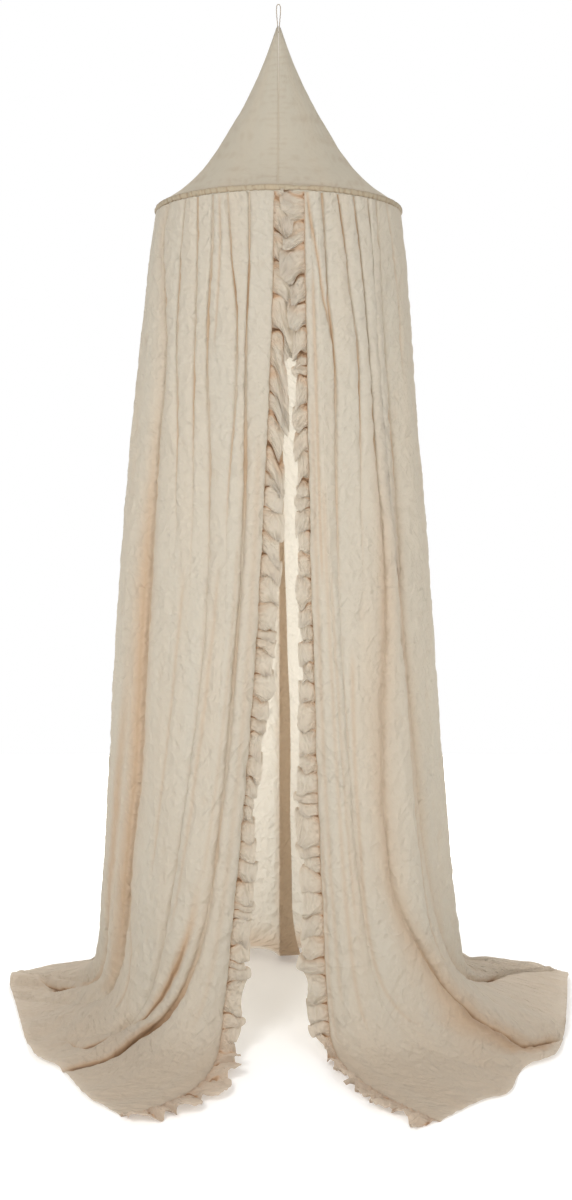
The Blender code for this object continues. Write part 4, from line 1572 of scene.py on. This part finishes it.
@dataclass(frozen=True)
class Ruffle:
    """Gathered strip sewn to a curtain's front edge, from the hoop to the corner on the floor.

    Its flat width and its fullness are guesses, set so that they suit the finished mesh.
    """

    curtain: Curtain
    table: Table
    seed: int
    seam: float = -0.0030
    under: float = 0.0026
    spread: float = 1.4
    spread_patch: float = 0.05
    spread_range: Pair = (-0.45, 0.80)
    swirl: Swell = Swell(3.6, 1 / 0.8, 1 / 1.1)
    fullness_swell: Swell = Swell(0.9, 1 / 0.9, 1.0)
    lap_swell: Swell = Swell(0.9, 1.0, 1.0)
    reach_swell: Swell = Swell(0.3, 1.0, 1.0)
    noise_lines: Triple = (7.7, 2.2, 1.1)
    swing: float = 0.0052
    swing_power: float = 0.75
    plate: Triple = (0.30, 0.60, 1.3)
    crevice: float = 5.0
    tuck: float = 0.9
    crevice_mean: float = 0.85
    crevice_swell: Swell = Swell(1.5, 1 / 1.1, 1 / 0.9)
    crevice_range: Pair = (0.15, 1.4)
    fan: float = 0.45
    fan_rate: float = 3.3
    fan_slant: float = 2.5
    fan_power: float = 0.7
    top_ramp: Pair = (0.42, 0.20)
    top_rise: float = 0.5
    floor_rise: Pair = (1.2, 0.2)
    droop_start: float = 0.03
    droop_power: float = 1.4
    lap_power: float = 0.6
    smile: float = 0.0045
    smile_power: int = 6
    scallop: float = 0.24
    scallop_tuck: float = 0.35
    scallop_sharpness: float = 2.0
    floor_scallop: float = 0.14
    # Painted shadow under each lobe's lip: its sharpness, place, strength and fade.
    lip_shade_sharpness: float = 7.0
    lip_shade_tuck: float = 0.8
    lip_shade_mean: float = 0.75
    lip_shade_swell: Swell = Swell(1.6, 1 / 1.3, 1 / 1.5)
    lip_shade_range: Pair = (0.1, 1.0)
    lip_shade_fade: Pair = (1.05, 0.5)
    # Painted shade in the low parts of the lobes, deeper near the band, and along the seam.
    low_ramp: Pair = (0.2, 1.4)
    top_darker: float = 0.4
    low_shade: float = 0.25
    top_shade: float = 0.35
    seam_shade: float = 0.30
    gathers: float = 0.0060
    gather_depth: float = 0.0010
    gather_ramp: float = 0.08
    wander: Swell = Swell(5.0, 0.02, 1.0)
    crumple_ramp: float = 0.1
    billow: Swell = Swell(0.004, 0.11, 1 / 0.7)
    crumple: Swell = Swell(0.0026, 0.024, 1 / 1.6, sharp=True)
    fine_crumple: Swell = Swell(0.0013, 0.012, 1 / 3.2, sharp=True)
    frill: Swell = Swell(0.0008, 0.009, 1.0)
    floor_lift: float = 0.0006
    steps: Counts = (26, 2300)
    path_steps: int = 1600
    tangent_window: int = 6
    flat_width: float = 0.042
    fullness: float = 1.35
    # Painted shade on the part that lies on the floor.
    lying_shade: float = 0.24

    def path(self) -> tuple[Array, Array, Array]:
        """The curtain's front edge in even steps.

        Returns:
            Length along it, row of the curtain and place of each step.
        """
        fine = np.linspace(0, 2, self.path_steps)
        line = self.curtain.front_edge(fine)
        length = cell_steps(line, 0)
        s = np.linspace(0, length[-1], self.steps[1])
        line = np.stack([np.interp(s, length, line[:, k]) for k in range(3)], axis=-1)
        return s, np.interp(s, length, fine), line

    def axes(self, line: Array, row: Array) -> tuple[Array, Array, Array]:
        """Directions along the edge, out from it towards the opening, and off the cloth.

        Args:
            line: places along the edge.
            row: row of the curtain at each.

        Returns:
            Three unit vectors for each place.
        """
        side = self.curtain.side.value
        lying = ramp(row, LYING_RAMP)[:, None]
        flat = lying * np.array((0.0, 0.0, 1.0))
        hung = (1 - lying) * np.array((0.0, -1.0, 0.0))
        tangent = unit(blur(np.gradient(line, axis=0), self.tangent_window, 0))
        out = unit(np.cross(unit(flat + hung), tangent) * -side)
        up = np.cross(tangent, out)
        up = up * np.sign(np.sum(up * (flat + hung), axis=-1, keepdims=True))
        tilt = np.radians(self.table.read(row, "tilt", "row"))[:, None]
        return tangent, out * np.cos(tilt) + side * up * np.sin(tilt), up

    def lobes(self, s: Array, row: Array, v: Array) -> tuple[Array, Array, Array, Array]:
        """Uneven overlapping lobes, each a nearly flat plate whose lower lip hangs over the next.

        The phase turns once for each lobe. The strip moves along by minus its sine, so far that
        it doubles back under each lip, and off the cloth by a plate less a narrow bell, the
        crevice under the lip.

        Args:
            s: length along the seam.
            row: row of the curtain.
            v: share of the way from the seam to the free edge.

        Returns:
            Reach from the seam, rise off the cloth, shift along the seam, and painted shade.
        """
        stretch = np.clip(soft_noise(s / self.spread_patch, 0 * s, self.seed), *self.spread_range)
        pitch = self.table.read(row, "lobe", "row") * (1 + self.spread * stretch)
        number = np.cumsum(1 / pitch) * (s[1] - s[0])
        turn = 2 * np.pi * number + v * self.swirl.height(number, v, self.seed + 1)
        uneven = 1 + self.fullness_swell.height(number, self.noise_lines[0], self.seed + 2)
        lying = ramp(row, LYING_RAMP)
        top = eased((self.top_ramp[0] - row) / self.top_ramp[1])
        form = self.form(number, turn, v)
        rise = self.swing * uneven * v ** self.swing_power * (form + self.floor_rise[0] * lying)
        rise = rise * (1 + self.floor_rise[1] * lying + self.top_rise * top)
        reach = self.table.read(row, "width", "row") * self.scallops(number, turn, v, lying)
        shift = self.shift(s, row, number, turn, v, pitch, uneven)
        return reach, rise, shift, self.painted_shades(number, turn, v, form, lying, top)

    def form(self, number: Array, turn: Array, v: Array) -> Array:
        """Section of the lobes: a plate less its crevice, with fan-like pleats near the seam.

        Args:
            number: lobes counted along the seam.
            turn: phase of the lobe.
            v: share of the way from the seam to the free edge.

        Returns:
            Rise off the cloth, about 1 at the lips.
        """
        crevice = np.exp(self.crevice * (np.cos(turn - self.tuck) - 1))
        depth = self.crevice_mean + self.crevice_swell.height(number, v, self.seed + 10)
        crevice = crevice * np.clip(depth, *self.crevice_range)
        level, swing, sunk = self.plate
        plate = level - swing * np.sin(turn) - sunk * crevice
        pleats = np.sin(self.fan_rate * turn + self.fan_slant * v)
        return plate + self.fan * pleats * (1 - v) ** self.fan_power

    def scallops(self, number: Array, turn: Array, v: Array, lying: Array) -> Array:
        """Share of the width that the strip reaches, drawn in between the lobes.

        Args:
            number: lobes counted along the seam.
            turn: phase of the lobe.
            v: share of the way from the seam to the free edge.
            lying: 1 on the floor and 0 above it.

        Returns:
            Share of the ruffle's width at each point.
        """
        uneven = 1 + self.reach_swell.height(number, self.noise_lines[2], self.seed + 4)
        corner = np.exp(self.scallop_sharpness * (np.cos(turn - self.scallop_tuck) - 1))
        corner = corner * (1 - lying)
        drawn_in = self.scallop * corner * v ** 2 + self.floor_scallop * lying * v * np.cos(turn)
        return uneven * v * (1 - drawn_in)

    def shift(self, s: Array, row: Array, number: Array, turn: Array, v: Array, pitch: Array,
              uneven: Array) -> Array:
        """How far the strip moves down along the seam: its laps, its droop and its smile.

        Args:
            s: length along the seam.
            row: row of the curtain.
            number: lobes counted along the seam.
            turn: phase of the lobe.
            v: share of the way from the seam to the free edge.
            pitch: length of each lobe.
            uneven: how full each lobe is, about 1.

        Returns:
            Shift in metres.
        """
        lap = 1 + self.lap_swell.height(number, self.noise_lines[1], self.seed + 8)
        lap = self.table.read(row, "lap", "row") * lap
        laps = -lap * pitch * v ** self.lap_power * np.sin(turn)
        droop = self.table.read(row, "droop", "row") * eased(s / self.droop_start)
        smile = self.smile * v ** self.smile_power * (1 - ramp(row, LYING_RAMP))
        return laps + droop * v ** self.droop_power * uneven - smile

    def painted_shades(self, number: Array, turn: Array, v: Array, form: Array, lying: Array,
               top: Array) -> Array:
        """Painted shade: shadow under the lips, shade in the low parts, on the floor and along the seam.

        Args:
            number: lobes counted along the seam.
            turn: phase of the lobe.
            v: share of the way from the seam to the free edge.
            form: section of the lobes.
            lying: 1 on the floor and 0 above it.
            top: 1 at the band and 0 further down.

        Returns:
            Painted shade from 0 to 1.
        """
        # Painted shadow under the lips, painted shade in the low parts, on the floor and along the seam.
        lip = np.exp(self.lip_shade_sharpness * (np.cos(turn - self.lip_shade_tuck) - 1))
        lip = lip * (self.lip_shade_fade[0] - self.lip_shade_fade[1] * v)
        patch = self.lip_shade_mean + self.lip_shade_swell.height(number, v, self.seed + 11)
        lip = lip * np.clip(patch, *self.lip_shade_range)
        low = eased((self.low_ramp[0] - form) / self.low_ramp[1])
        low = low * (self.low_shade + self.top_shade * top)
        dark = np.maximum(lip * (1 + self.top_darker * top), low)
        dark = np.maximum(dark, self.lying_shade * lying)
        return np.clip(dark + self.seam_shade * (1 - v) ** 5, 0, 1)

    def build(self, finish: bpy.types.Material) -> bpy.types.Object:
        """Lays the lobes along the edge, with small gathers at the seam and crumples.

        Args:
            finish: material of the strip.

        Returns:
            The ruffle.
        """
        word = self.curtain.side.name.lower()
        s, row, line = self.path()
        v = np.linspace(0, 1, self.steps[0])[:, None]
        tangent, out, up = self.axes(line, row)
        reach, rise, shift, painted_shade = self.lobes(s, row, v)
        strip = s * self.fullness
        wander = self.wander.height(s, 0.0, self.seed + 5)
        pinch = self.gather_depth * (1 - v) ** 1.5 * eased(v / self.gather_ramp)
        rise = rise + pinch * np.sin(2 * np.pi * s / self.gathers + wander)
        rise = rise - self.under * (1 - v) ** 6 + v * self.billow.height(s, v, self.seed + 3)
        crumple = self.crumple.height(strip - self.crumple.width * v, v, self.seed + 6)
        crumple = crumple + self.fine_crumple.height(strip + self.fine_crumple.width * v, v, self.seed + 7)
        rise = rise + crumple * eased(v / self.crumple_ramp)
        reach = self.seam + reach + v * self.frill.height(strip, 0 * s, self.seed + 9)
        points = line + out * reach[..., None] + up * rise[..., None] + tangent * shift[..., None]
        points[..., 2] = np.maximum(points[..., 2], FLOOR + FLOOR_CLEARANCE + self.floor_lift * v)
        uv = np.stack([strip + 0 * v, v * self.flat_width + 0 * s], axis=-1)
        obj = make_mesh(f"ruffle_strip_{word}", points, uv, painted_shade, flip=self.curtain.side is Side.LEFT)
        dress(obj, finish, (f"ruffle_{word}",))
        return obj


# Studio


@dataclass(frozen=True)
class Studio:
    """White paper floor and surround, a soft key and fill in front, a light behind, one inside."""

    camera_place: Triple = (0.0151, -2.958, -0.999)
    lens: float = 44.0
    sensor: float = 36.0
    shift: float = -100 / 1200
    zenith_fade: Pair = (0.2, 0.9)
    floor_size: float = 5.6
    surround: float = 0.71
    overhead: float = 0.74
    tint: Colour = (1.0, 0.985, 0.96)
    lights: Table = Table("x y z aim_y aim_z size power", (
        (-1.4, -3.2, 0.6, 0.0, -1.0, 1.4, 82.0),
        (1.7, -3.2, -0.3, 0.0, -1.0, 1.8, 44.0),
        (0.0, 2.6, -0.6, 0.0, -1.0, 2.4, 82.0),
        (0.0, -0.14, -1.3, 1.0, -1.3, 0.3, 0.4),
    ))
    light_names: tuple[str, ...] = ("key_light", "fill_light", "back_light", "inner_light")

    def camera(self) -> None:
        """Level camera, its frame shifted down to the picture's horizon."""
        data = bpy.data.cameras.new("studio_camera")
        data.sensor_fit = "VERTICAL"
        data.sensor_width = data.sensor_height = self.sensor
        data.lens = self.lens
        data.shift_y = self.shift
        camera = bpy.data.objects.new("studio_camera", data)
        camera.location = self.camera_place
        camera.rotation_euler = (np.pi / 2, 0, 0)
        bpy.context.scene.collection.objects.link(camera)
        bpy.context.scene.camera = camera

    def light(self, name: str, place: Triple, aim: Triple, size: float, power: float) -> None:
        """A square soft light that looks from its place at its aim, unseen by the camera.

        Args:
            name: name of the light.
            place: where it stands.
            aim: the point that it faces.
            size: edge of the square in metres.
            power: watts.
        """
        data = bpy.data.lights.new(name, "AREA")
        data.shape, data.size, data.energy = "SQUARE", size, power
        lamp = bpy.data.objects.new(name, data)
        lamp.location = place
        lamp.rotation_euler = (Vector(aim) - Vector(place)).to_track_quat("-Z", "Y").to_euler()
        lamp.visible_camera = False
        bpy.context.scene.collection.objects.link(lamp)

    def floor(self) -> None:
        """Flat sheet of paper under the hems."""
        h = self.floor_size / 2
        u, v = np.meshgrid((-h, h), (-h, h))
        points = np.stack([u, v, 0 * u + FLOOR], axis=-1)
        obj = make_mesh("paper_floor", points, np.stack([u, v], axis=-1), 0 * u, flip=True)
        obj.data.materials.append(PaperFinish().make())

    def build(self) -> None:
        """Sets up floor, lights, surround and camera."""
        world = bpy.data.worlds.new("white_surround")
        world.use_nodes = True
        tree = world.node_tree
        seen = tree.nodes["Background"]
        seen.inputs["Color"].default_value = (1.0, 1.0, 1.0, 1.0)
        cast = tree.nodes.new("ShaderNodeBackground")
        cast.inputs["Color"].default_value = (*self.tint, 1.0)
        split = tree.nodes.new("ShaderNodeSeparateXYZ")
        tree.links.new(tree.nodes.new("ShaderNodeTexCoord").outputs["Generated"], split.inputs[0])
        fade = tree.nodes.new("ShaderNodeMapRange")
        levels = (*self.zenith_fade, self.surround, self.surround * self.overhead)
        for name, value in zip(("From Min", "From Max", "To Min", "To Max"), levels):
            fade.inputs[name].default_value = value
        tree.links.new(split.outputs["Z"], fade.inputs["Value"])
        tree.links.new(fade.outputs["Result"], cast.inputs["Strength"])
        both = tree.nodes.new("ShaderNodeMixShader")
        tree.links.new(tree.nodes.new("ShaderNodeLightPath").outputs["Is Camera Ray"], both.inputs[0])
        tree.links.new(cast.outputs[0], both.inputs[1])
        tree.links.new(seen.outputs[0], both.inputs[2])
        tree.links.new(both.outputs[0], tree.nodes["World Output"].inputs["Surface"])
        bpy.context.scene.world = world
        bpy.context.scene.view_settings.view_transform = "Standard"
        self.floor()
        for name, (x, y, z, aim_y, aim_z, size, power) in zip(self.light_names, self.lights.rows):
            self.light(name, (x, y, z), (0.0, aim_y, aim_z), size, power)
        self.camera()


def main() -> None:
    """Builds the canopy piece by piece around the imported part."""
    logging.basicConfig(level=logging.INFO, format="%(name)s: %(message)s")
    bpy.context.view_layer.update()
    Studio().build()
    # Each cotton's second colour is its painted shade colour, the third the colour of light let through.
    cotton = CottonFinish("washed_cotton", (0.480, 0.444, 0.386), (0.500, 0.325, 0.190),
                          (0.750, 0.700, 0.600)).make()
    roof = CottonFinish("roof_cotton", (0.470, 0.435, 0.370), (0.380, 0.280, 0.190),
                        (0.710, 0.660, 0.560), wrinkle=0.0006, crumb=0.0003).make()
    trim = CottonFinish("ruffle_cotton", (0.490, 0.445, 0.380), (0.510, 0.290, 0.150),
                        (0.770, 0.700, 0.590)).make()
    # The band is the same cotton, its colours painted darker as shade.
    band = CottonFinish("band_cotton_shaded", (0.37, 0.31, 0.22), (0.25, 0.17, 0.10),
                        (0.42, 0.34, 0.25), thin=0.2, wrinkle=0.0010).make()
    HangLoop().build(roof)
    for side in Side:
        RoofPanel(side).build(roof)
    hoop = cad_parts["hoop"]
    hoop.data.materials.clear()
    hoop.data.materials.append(SteelFinish().make())
    HoopBand().build(band)
    left = Curtain(Side.LEFT, LEFT_LINES, LEFT_FOLDS, LEFT_GUIDES, LEFT_CREASES, 100,
                   cut=(1.56, 1.92), area=1.84, lap=LEFT_LAP)
    right = Curtain(Side.RIGHT, RIGHT_LINES, RIGHT_FOLDS, RIGHT_GUIDES, RIGHT_CREASES, 200,
                    cut=(1.66, 1.93), area=1.81)
    left.build(cotton)
    right.build(cotton)
    Ruffle(left, LEFT_RUFFLE, 300).build(trim)
    Ruffle(right, RIGHT_RUFFLE, 400).build(trim)
    bpy.context.view_layer.update()


if __name__ == "__main__":
    main()
